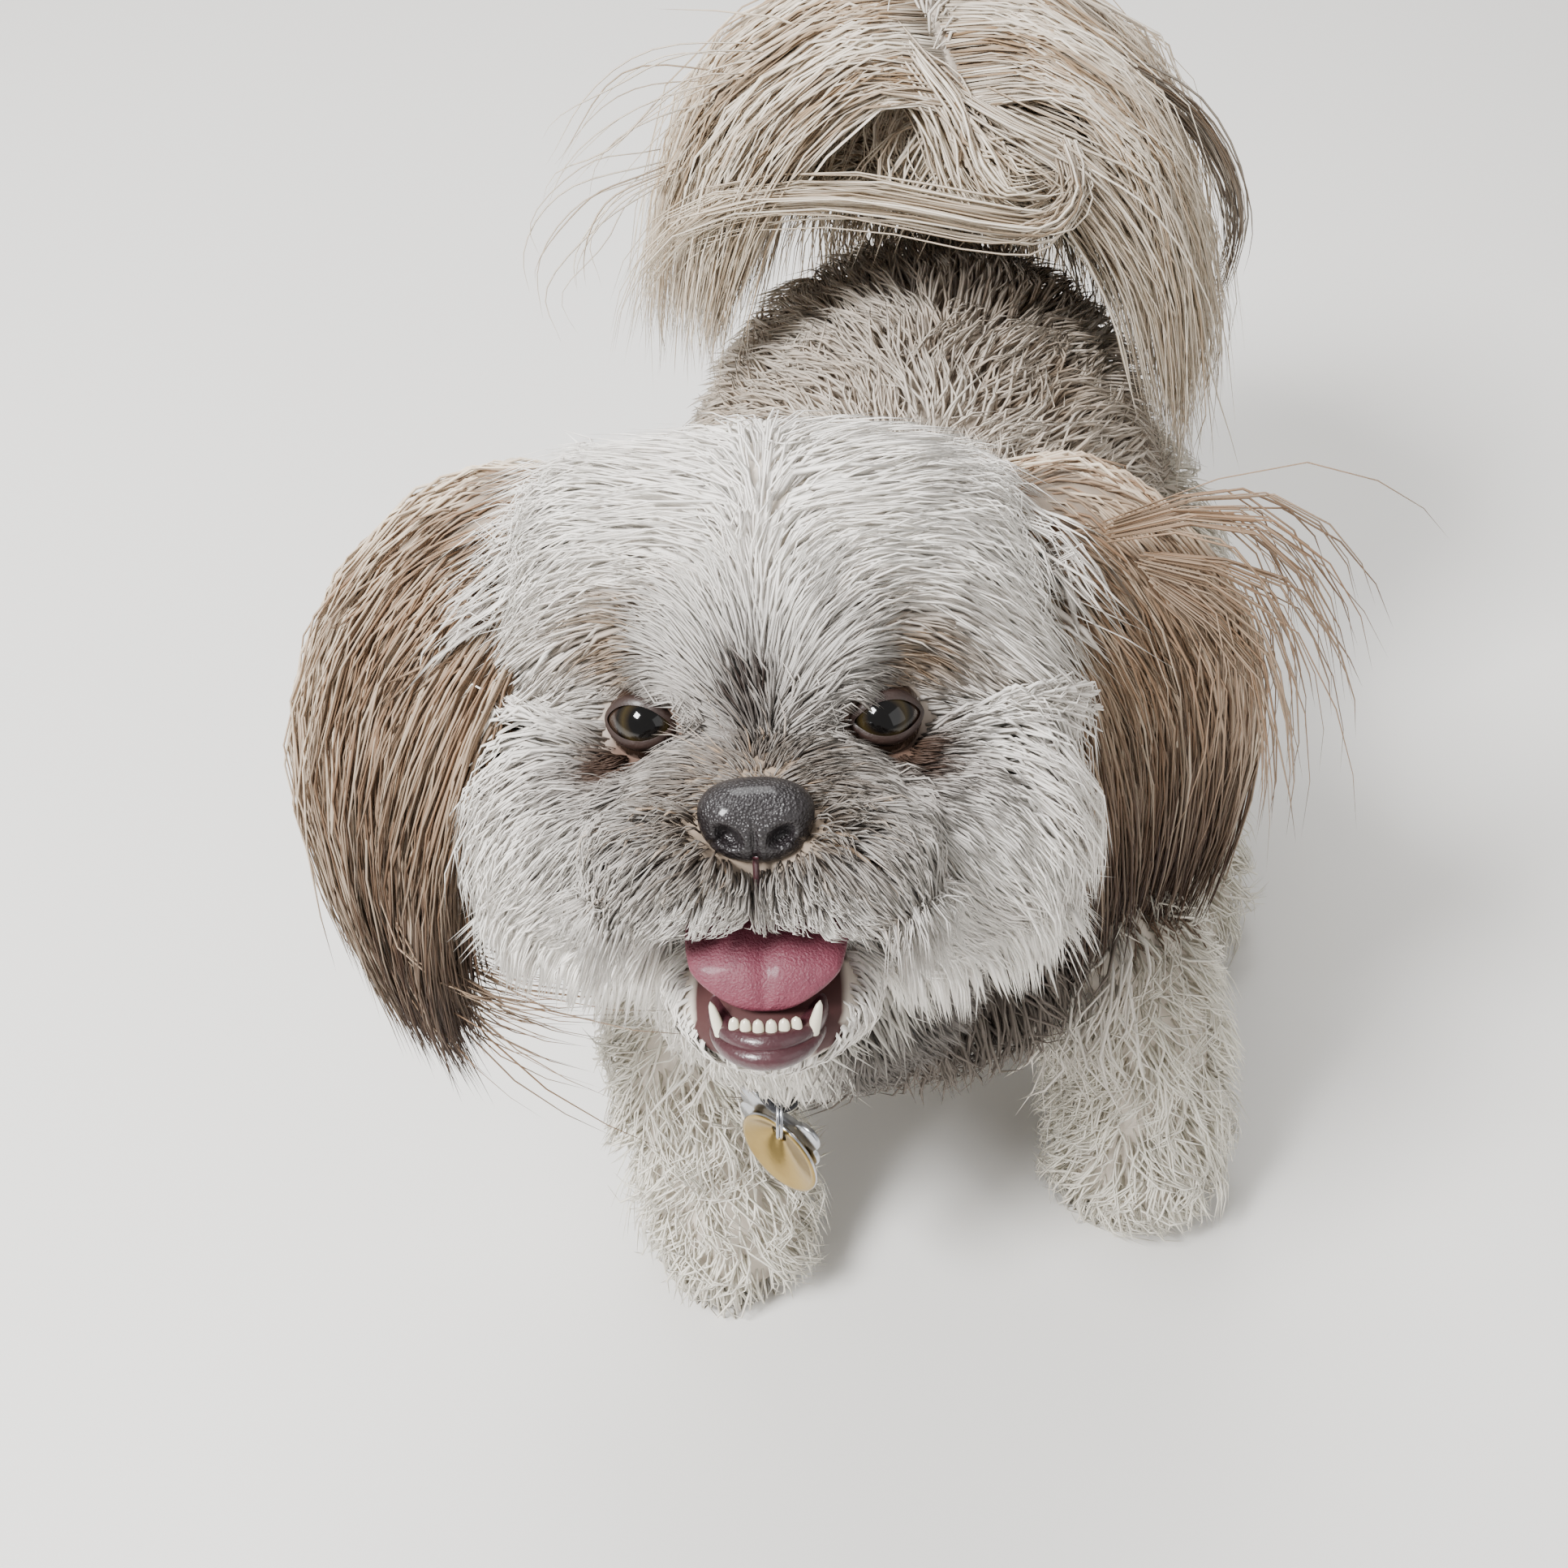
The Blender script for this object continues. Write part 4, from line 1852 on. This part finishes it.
@dataclass
class Mouth:
    """The open mouth: tongue, lower teeth, gums and the dark lips."""

    arch: float = 11.5
    front: float = 9.0
    level: float = -53.5
    incisors: int = 6

    def tongue(self) -> bpy.types.Object:
        """Builds the tongue, with a shallow groove down its middle and edges that curl up."""
        limb = Limb(TONGUE)
        theta, phi, faces = globe(72, 90)
        points, _ = limb.solid(72, 90, -0.3, 3.0)
        t = (1 - np.cos(theta)) / 2
        up = limb.frames(t)[3]
        above = smooth(0.1, 0.8, np.sin(phi))
        inward = np.cos(phi)
        groove = np.exp(-((inward / 0.13) ** 2)) * above * np.sin(theta)
        points -= up * (groove * 1.5)[:, None]
        points += up * (np.abs(inward) ** 4 * 1.2 * np.sin(theta))[:, None]
        finish = WetFinish(
            "tongue_wet", "5C2534", "7C3D4B", roughness=0.55, coat=0.06, scale=500, bump=0.7
        ).material()
        made = new_mesh("tongue_flesh", to_dog(points), faces, finish)
        attach(made, "tongue", "tongue")
        return made

    def arc(self, out: float, down: float, reach: float = 90.0, count: int = 40) -> Array:
        """Gives a horseshoe of points round the front of the lower jaw, in the head's frame."""
        turn = np.radians(np.linspace(-reach, reach, count))
        x = np.sin(turn) * (self.arch + out) * 1.05
        y = self.front - out + (self.arch + 2) * (1 - np.cos(turn)) * 1.25
        z = np.full(count, self.level - down) + 5.0 * np.abs(turn / np.radians(reach)) ** 2
        return np.column_stack([x, y, z])

    def tooth(
        self, base: Array, radius: float, height: float, lean: float = 0.0, blunt: float = 1.6
    ) -> tuple[Array, list]:
        """Builds one tooth as a tapered peg with a rounded crown, fuller the more blunt it is."""
        s = np.linspace(0, 1, 9)
        path = base + np.column_stack([lean * s * height, -0.12 * s * height, s * height])
        return tube(path, radius * (0.1 + 0.9 * np.sqrt(np.maximum(1 - s**blunt, 0))), 12, 0.8)

    def teeth(self) -> bpy.types.Object:
        """Builds the six lower incisors, the canines and two upper teeth that just show."""
        pegs = []
        for i in range(self.incisors):
            turn = math.radians((i - (self.incisors - 1) / 2) * 13)
            x = math.sin(turn) * self.arch * 1.25
            y = self.front + self.arch * (1 - math.cos(turn)) * 1.1
            pegs.append(self.tooth(np.array([x, y, self.level - 3.5]), 1.5, 4.6, blunt=4.0))
        for sign in (-1, 1):
            base = np.array([sign * self.arch, self.front + 5, self.level - 4.5])
            pegs.append(self.tooth(base, 2.0, 8.8, sign * 0.25))
            top = np.array([sign * 15.5, 14.0, -21.0])
            points, faces = self.tooth(top, 1.6, 6.0, sign * 0.1)
            points[:, 2] = 2 * top[2] - points[:, 2] - 1
            pegs.append((points, faces))
        points, faces = merge(pegs)
        finish = WetFinish("tooth_enamel", "E9E3D2", "D6CBB0", roughness=0.25, coat=0.4, bump=0.05).material()
        made = new_mesh("teeth", to_dog(points), faces, finish)
        attach(made, "coat_head")
        return made

    def lips(self) -> bpy.types.Object:
        """Builds the lower lip and gum and the dark edge of the upper lip."""
        lower = self.arc(0.6, 5.2)
        roll = self.arc(2.0, 8.6, 84.0)
        s = np.linspace(0, 1, 44)
        upper = spline(np.array([
            [-29.4, 34, -33.2], [-22, 19, -29], [-9, 7.5, -24.5], [0, 5.5, -22], [9, 7.5, -24.5],
            [22, 19, -28], [28.9, 34, -30],
        ]), s)
        swell = 1 - 0.5 * np.abs(2 * s - 1) ** 3
        route = np.array([[0, -1.5, -9], [0, 0.5, -14], [0, 4, -20], [0, 6, -23]])
        groove = spline(route, np.linspace(0, 1, 12))
        parts = [
            tube(lower, np.full(40, 3.1), 16),
            tube(roll, 3.0 * np.sin(np.linspace(0.35, math.pi - 0.35, 40)), 16),
            tube(upper, 1.1 * swell, 12),
            tube(groove, np.full(12, 0.8), 8),
        ]
        points, faces = merge(parts)
        finish = WetFinish(
            "lip_skin", "2E181C", "4E2A30", roughness=0.38, coat=0.4, scale=260, bump=0.4
        ).material()
        made = new_mesh("lips", to_dog(points), faces, finish)
        attach(made, "coat_head")
        return made

    def build(self) -> None:
        """Builds the mouth's pieces."""
        self.tongue()
        self.teeth()
        self.lips()


@dataclass
class Collar:
    """The dark woven collar with its loop, split ring and two plain tags."""

    spot: float = 0.5
    wide: float = 11.0
    thick: float = 2.6
    core: float = -11.0
    hang_turn: float = -96.0
    gap: float = 0.3
    loop_radius: float = 5.0
    loop_wire: float = 1.3
    ring_radius: float = 6.5
    ring_wire: float = 1.1
    tag_radius: float = 15.0
    tag_thick: float = 1.8
    tag_hole: float = 3.0
    tag_turn: float = -41.0
    bone_half: float = 11.0
    bone_knob: float = 5.0

    def hang(self) -> tuple[Array, Array]:
        """Gives the lowest point of the collar in front and the way out from it."""
        turn = np.array([math.radians(self.hang_turn)])
        point, normal = LIMBS[Region.NECK].surface(np.array([self.spot]), turn, self.core)
        return point[0] + normal[0] * (self.gap * 2 + self.thick), normal[0]

    def band(self) -> bpy.types.Object:
        """Builds the band and the loop that the split ring hangs on."""
        neck = LIMBS[Region.NECK]
        rows = np.array(neck.stations)
        length = np.linalg.norm(rows[0, :3] - rows[3, :3])
        around = 160
        turn = np.arange(around) * 2 * math.pi / around
        corners = [
            (-1, -1), (-0.5, -1), (0.5, -1), (1, -1), (1, -0.2),
            (0.9, 0.8), (0.5, 1), (-0.5, 1), (-0.9, 0.8), (-1, -0.2),
        ]
        rings = []
        for along, out in corners:
            spot = np.full(around, self.spot + along * self.wide / 2 / length)
            points, normals = neck.surface(spot, turn, self.core)
            rings.append(points + normals * (self.gap * 2 + self.thick / 2 * (1 + out)))
        count = len(corners)
        faces = [
            (k * around + j, k * around + (j + 1) % around, (k + 1) % count * around + (j + 1) % around,
             (k + 1) % count * around + j)
            for k in range(count)
            for j in range(around)
        ]
        point, normal = self.hang()
        flat = unit(np.cross(normal, np.array([1.0, 0, 0])))
        loop = self.ring(point + normal * self.loop_radius * 0.6, flat, self.loop_radius, self.loop_wire)
        points, faces = merge([(np.vstack(rings), faces), loop])
        finish = WetFinish(
            "collar_webbing", "121214", "24242A", roughness=0.75, coat=0.0, scale=700, bump=0.8
        ).material()
        made = new_mesh("collar_band", points, faces, finish)
        attach(made, "collar", "collar")
        return made

    def ring(
        self, centre: Array, normal: Array, radius: float, wire: float, turns: float = 1.0
    ) -> tuple[Array, list]:
        """Builds a wire ring about a centre."""
        a = unit(np.cross(normal, np.array([0.1, 0.3, 0.9])))
        b = np.cross(normal, a)
        big, small = 48, 12
        points, faces = [], []
        for i in range(big):
            u = 2 * math.pi * i / big * turns
            way = a * math.cos(u) + b * math.sin(u)
            for j in range(small):
                v = 2 * math.pi * j / small
                points.append(centre + way * (radius + wire * math.cos(v)) + normal * wire * math.sin(v))
                n, m = (i + 1) % big, (j + 1) % small
                faces.append((i * small + j, n * small + j, n * small + m, i * small + m))
        return np.array(points), faces

    def ring_centre(self) -> Array:
        """Gives the middle of the split ring."""
        point, normal = self.hang()
        drop = self.loop_wire + self.ring_wire + self.gap - self.ring_radius
        return point + normal * self.loop_radius * 1.6 + np.array([0, 0, drop])

    def split_ring(self) -> bpy.types.Object:
        """Builds the split ring as two turns of wire side by side."""
        centre = self.ring_centre()
        axis = np.array([1.0, 0, 0])
        half = self.ring_wire * 0.5
        parts = [
            self.ring(centre + axis * side * half, axis, self.ring_radius, half * 0.96)
            for side in (-1, 1)
        ]
        points, faces = merge(parts)
        finish = WetFinish(
            "ring_steel", "B9BBC0", "9A9CA2", roughness=0.25, coat=0.0, bump=0.05, metallic=1.0
        )
        made = new_mesh("split_ring", points, faces, finish.material())
        attach(made, "steel_tag", "tag_ring")
        return made

    def hook(self, points: Array, above: float, swing: float) -> Array:
        """Hangs a tag drawn in its own plane on the split ring.

        Args:
            points: Its points: across, through and up.
            above: Height of its hole over its middle.
            swing: How far its hook point is turned round the ring, in degrees.

        Returns:
            The points in the dog's frame.
        """
        a = math.radians(swing)
        low = self.ring_centre() + np.array([0, -math.sin(a), -math.cos(a)]) * self.ring_radius
        moved = points - np.array([0, 0, above])
        return moved @ turn_about(2, self.tag_turn).T + low

    def plate(self, outline: Array, hole: Array, levels: list[tuple[float, float]]) -> tuple[Array, list]:
        """Builds a flat tag with a bore.

        Args:
            outline: Its edge, across and up.
            hole: The edge of its bore, with as many points.
            levels: Depth through the tag and inset from the edge, from back to front.

        Returns:
            Points and faces.
        """
        middle = outline.mean(0)
        rings = [np.column_stack([hole[:, 0], np.full(len(hole), levels[0][0]), hole[:, 1]])]
        for depth, inset in levels:
            edge = outline + unit(middle - outline) * inset
            rings.append(np.column_stack([edge[:, 0], np.full(len(edge), depth), edge[:, 1]]))
        rings.append(np.column_stack([hole[:, 0], np.full(len(hole), levels[-1][0]), hole[:, 1]]))
        count, around = len(rings), len(outline)
        faces = [
            (k * around + j, k * around + (j + 1) % around, (k + 1) % count * around + (j + 1) % around,
             (k + 1) % count * around + j)
            for k in range(count)
            for j in range(around)
        ]
        return np.vstack(rings), faces

    def tags(self) -> None:
        """Builds the round brass tag with a steel rim and the steel bone behind it."""
        around = 96
        turn = np.arange(around) * 2 * math.pi / around
        circle = np.column_stack([np.cos(turn), np.sin(turn)])
        half = self.tag_thick / 2
        above = self.tag_radius - self.tag_hole - 1.6
        hole = circle * self.tag_hole + np.array([0, above])
        levels = [
            (half, 0.5), (half * 0.6, 0.0), (-half * 0.6, 0.0),
            (-half, 0.5), (-half, 1.6), (-half * 0.55, 2.0),
        ]
        points, faces = self.plate(circle * self.tag_radius, hole, levels)
        brass = WetFinish("tag_brass", "A8905A", "8C7444", roughness=0.3, coat=0.2, bump=0.1, metallic=1.0)
        made = new_mesh("round_tag", self.hook(points, above, 16), faces, brass.material())
        attach(made, "brass_tag", "tag_round")
        rim = self.ring(np.zeros(3), np.array([0, 1.0, 0]), self.tag_radius - 0.5, half * 0.75)
        steel = WetFinish("tag_steel", "C4C6CA", "A2A4AA", roughness=0.28, coat=0.1, bump=0.08, metallic=1.0)
        steel_finish = steel.material()
        made = new_mesh("round_tag_rim", self.hook(rim[0], above, 16), rim[1], steel_finish)
        attach(made, "steel_tag")
        knob = self.bone_knob
        arcs = (
            (self.bone_half, -knob * 0.8, -0.75, 0.25), (self.bone_half, knob * 0.8, -0.25, 0.75),
            (-self.bone_half, knob * 0.8, 0.25, 1.25), (-self.bone_half, -knob * 0.8, 0.75, 1.75),
        )
        edge = []
        for x, z, start, stop in arcs:
            a = np.linspace(start * math.pi, stop * math.pi, 24)
            edge.append(np.column_stack([x + knob * np.cos(a), z + knob * np.sin(a)]))
        edge = np.vstack(edge)
        first = np.arctan2(edge[:, 1], edge[:, 0])
        hole = np.column_stack([np.cos(first), np.sin(first)]) * self.tag_hole + np.array([0, 1.6])
        levels = [(half, 0.4), (half * 0.5, 0.0), (-half * 0.5, 0.0), (-half, 0.4)]
        points, faces = self.plate(edge, hole, levels)
        made = new_mesh("bone_tag", self.hook(points, 1.6, -20), faces, steel_finish)
        attach(made, "steel_tag", "tag_bone")

    def build(self) -> None:
        """Builds the collar and what hangs on it."""
        self.band()
        self.split_ring()
        self.tags()


@dataclass
class Studio:
    """A pale floor, soft lights and the camera where the photograph was taken."""

    floor_side: float = 6.0
    floor_colour: str = "E6E4E0"

    def light(self, name: str, place: tuple, size: float, power: float, tint: tuple = (1, 1, 1)) -> None:
        """Adds a soft area light that faces the dog."""
        data = bpy.data.lights.new(name, "AREA")
        data.energy, data.size, data.color = power, size, tint
        lamp = bpy.data.objects.new(name, data)
        lamp.location = place
        lamp.rotation_euler = (Vector((0, 0, 0.18)) - Vector(place)).to_track_quat("-Z", "Y").to_euler()
        bpy.context.scene.collection.objects.link(lamp)

    def build(self) -> None:
        """Builds the floor, the lights, the world and the camera."""
        half = self.floor_side / 2
        mesh = bpy.data.meshes.new("floor")
        corners = [(-half, -half, 0), (half, -half, 0), (half, half, 0), (-half, half, 0)]
        mesh.from_pydata(corners, [], [(0, 1, 2, 3)])
        floor = bpy.data.objects.new("floor", mesh)
        bpy.context.scene.collection.objects.link(floor)
        paint = bpy.data.materials.new("floor_paint")
        paint.use_nodes = True
        shader = paint.node_tree.nodes["Principled BSDF"]
        shader.inputs["Base Color"].default_value = shade(self.floor_colour)
        shader.inputs["Roughness"].default_value = 0.9
        mesh.materials.append(paint)
        self.light("Key", (-1.2, -1.0, 1.9), 0.6, 120)
        self.light("Fill", (1.5, -1.2, 1.1), 1.6, 9)
        self.light("Top", (-0.3, 0.9, 2.1), 1.2, 46)
        world = bpy.data.worlds.new("Soft light")
        bpy.context.scene.world = world
        world.use_nodes = True
        world.node_tree.nodes["Background"].inputs["Color"].default_value = (1.0, 0.99, 0.97, 1.0)
        world.node_tree.nodes["Background"].inputs["Strength"].default_value = 0.48
        data = bpy.data.cameras.new("Camera")
        data.sensor_width = SENSOR
        data.lens = FOCAL_PIXELS / FRAME_PIXELS * SENSOR
        data.clip_start = 0.01
        camera = bpy.data.objects.new("Camera", data)
        camera.location = to_row(np.array(CAMERA_PLACE))
        camera.rotation_euler = (math.radians(90 - CAMERA_TILT), 0, 0)
        bpy.context.scene.collection.objects.link(camera)
        bpy.context.scene.camera = camera


STRANDS_L = [
    [[30, -152, 300], [62, -158, 312], [88, -158, 292], [103, -152, 256]],
    [[40, -154, 292], [70, -162, 288], [90, -162, 250], [97, -152, 208]],
    [[44, -154, 284], [68, -164, 268], [80, -164, 226], [84, -154, 184]],
]
STRANDS_R = [
    [[-172, -190, 216], [-160, -214, 200], [-132, -226, 188], [-100, -228, 187]],
    [[-170, -192, 208], [-156, -216, 186], [-134, -228, 172], [-112, -230, 166]],
]

BODY_HAIR = HairFinish("coat_back", beige="8B7661", dark="43352B", tip="E9DFD0", tip_amount=0.5)
CHEST_HAIR = HairFinish("coat_chest", cream="F4F0E8", beige="8B7865", dark="3C322C", tip_amount=0.25)
LEG_HAIR = HairFinish("coat_legs", cream="EFEADC", beige="8E806C", tip="F4F0E6", tip_amount=0.35)
HEAD_HAIR = HairFinish(
    "coat_head", cream="F8F4EE", beige="7C6248", dark="3A2E27", stain="4A3B31", tip_amount=0.25
)
FACE_HAIR = HairFinish(
    "coat_face", cream="F6F2EC", beige="4F443C", dark="2A211D", stain="43332A", tip_amount=0.2
)
EAR_HAIR = HairFinish("coat_ear", cream="E6D6C0", beige="8E7259", dark="2E1D15", tip="6A4F3A", tip_amount=0.3)
PLUME_HAIR = HairFinish(
    "coat_plume", cream="F2E8D8", beige="8C7256", dark="3C2E24", tip="EBDCC2", tip_amount=0.35
)


def in_face(points: Array) -> Array:
    """Marks the fine-haired face: muzzle, bridge and round the eyes."""
    h = to_head(points)
    near = np.linalg.norm((h - np.array([0, 22, 0])) / np.array([46, 36, 36]), axis=-1)
    return smooth(1.15, 0.95, near)


def beside_face(points: Array) -> Array:
    """Marks the head outside the face."""
    return 1 - 0.85 * in_face(points)


def right_side(points: Array) -> Array:
    """Marks the dog's right half of the trunk."""
    return (points[:, 0] < -8).astype(float)


def left_side(points: Array) -> Array:
    """Marks the dog's left half of the trunk."""
    return 1 - right_side(points)


def coats() -> list[SkinCoat]:
    """Lists the coats that follow the skin, with how dense, long and fine each is."""
    body = dict(
        regions=(Region.TORSO, Region.TAIL), count=7400, length=(19, 29), width=(1.0, 1.9), lift=0.48,
        tousle=0.45, wave=0.2, finish=BODY_HAIR, slot="coat_body", steps=4, clumps=0.05, pull=0.7,
        fluff=14.0,
    )
    leg = dict(
        count=5400, length=(20, 32), width=(0.8, 1.4), lift=0.45, tousle=0.35, wave=0.45, finish=LEG_HAIR,
        slot="coat_legs", steps=4, clumps=0.035, pull=0.8,
    )
    return [
        SkinCoat("back_coat_right", chosen=right_side, seed=1, **body),
        SkinCoat("back_coat_left", chosen=left_side, seed=2, **body),
        SkinCoat(
            "chest_coat", (Region.NECK,), 7200, (20, 32), (1.0, 1.8), 0.45, 0.25, 0.18,
            CHEST_HAIR, "coat_body", steps=4, clumps=0.05, pull=0.65, seed=3, fluff=12.0,
        ),
        SkinCoat("foreleg_coat", (Region.FORELEG_R, Region.FORELEG_L), seed=4, **leg),
        SkinCoat("hindleg_coat", (Region.HINDLEG_R, Region.HINDLEG_L), seed=5, **leg),
        SkinCoat(
            "head_undercoat", (Region.HEAD, Region.JAW), 6000, (14, 20), (2.0, 3.2), 0.16, 0.1, 0.05,
            HEAD_HAIR, "coat_head", steps=4, chosen=beside_face, seed=9, clumps=0.05, pull=0.3, flat=0.14,
        ),
        SkinCoat(
            "head_coat", (Region.HEAD, Region.JAW), 10000, (14, 20), (0.6, 1.2), 0.26, 0.14, 0.08,
            HEAD_HAIR, "coat_head", steps=4, chosen=beside_face, seed=6, clumps=0.04, pull=0.55,
        ),
        SkinCoat(
            "face_coat", (Region.HEAD,), 11000, (8, 14), (0.7, 1.3), 0.24, 0.14, 0.06,
            FACE_HAIR, "coat_head", steps=4, chosen=in_face, seed=7, clumps=0.05, pull=0.5,
        ),
        SkinCoat(
            "ear_coat", (Region.EAR_R, Region.EAR_L), 1500, (18, 30), (1.0, 1.7), 0.2, 0.15, 0.1,
            EAR_HAIR, "coat_ears", steps=4, seed=8, clumps=0.06, pull=0.5,
        ),
    ]


def write_size() -> None:
    """Writes the boxes of the solids and of the shown dog."""
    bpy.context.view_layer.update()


def main() -> None:
    """Builds the dog piece by piece and sets the stage."""
    logging.basicConfig(level=logging.INFO, format="%(name)s: %(message)s")
    groups = {"strands": strand_group(), "coat": coat_group()}
    skin = Skin()
    skin.build()
    skin.dress(groups)
    LOG.info("skin: %d triangles", len(skin.tris))
    for coat in coats():
        made = coat.build(skin, groups)
        LOG.info("%s: %d faces", coat.name, len(made.data.polygons))
    ears = (
        EarCoat("ear_hair_right", Region.EAR_R, EAR_HAIR, STRANDS_R, inner=0.55, blond=1.0, seed=20),
        EarCoat("ear_hair_left", Region.EAR_L, EAR_HAIR, STRANDS_L, seed=21),
    )
    for ear in ears:
        made = ear.build(groups)
        ear.loose(groups)
        LOG.info("%s: %d faces", ear.name, len(made.data.polygons))
    plume = PlumeCoat(PLUME_HAIR)
    for sign in (-1.0, 1.0):
        plume.half(sign, groups)
    plume.ends(groups)
    plume.locks(groups)
    LOG.info("plume built")
    Eyes().build()
    Nose().build()
    Mouth().build()
    LOG.info("face built")
    Collar().build()
    LOG.info("collar built")
    coat = [piece for piece in bpy.data.objects if piece.type == "MESH" and "along" in piece.data.attributes]
    corners = sum(len(piece.data.loops) - 2 * len(piece.data.polygons) for piece in coat)
    LOG.info("coat: %d triangles in %d pieces", corners, len(coat))
    Studio().build()
    write_size()


if __name__ == "__main__":
    main()
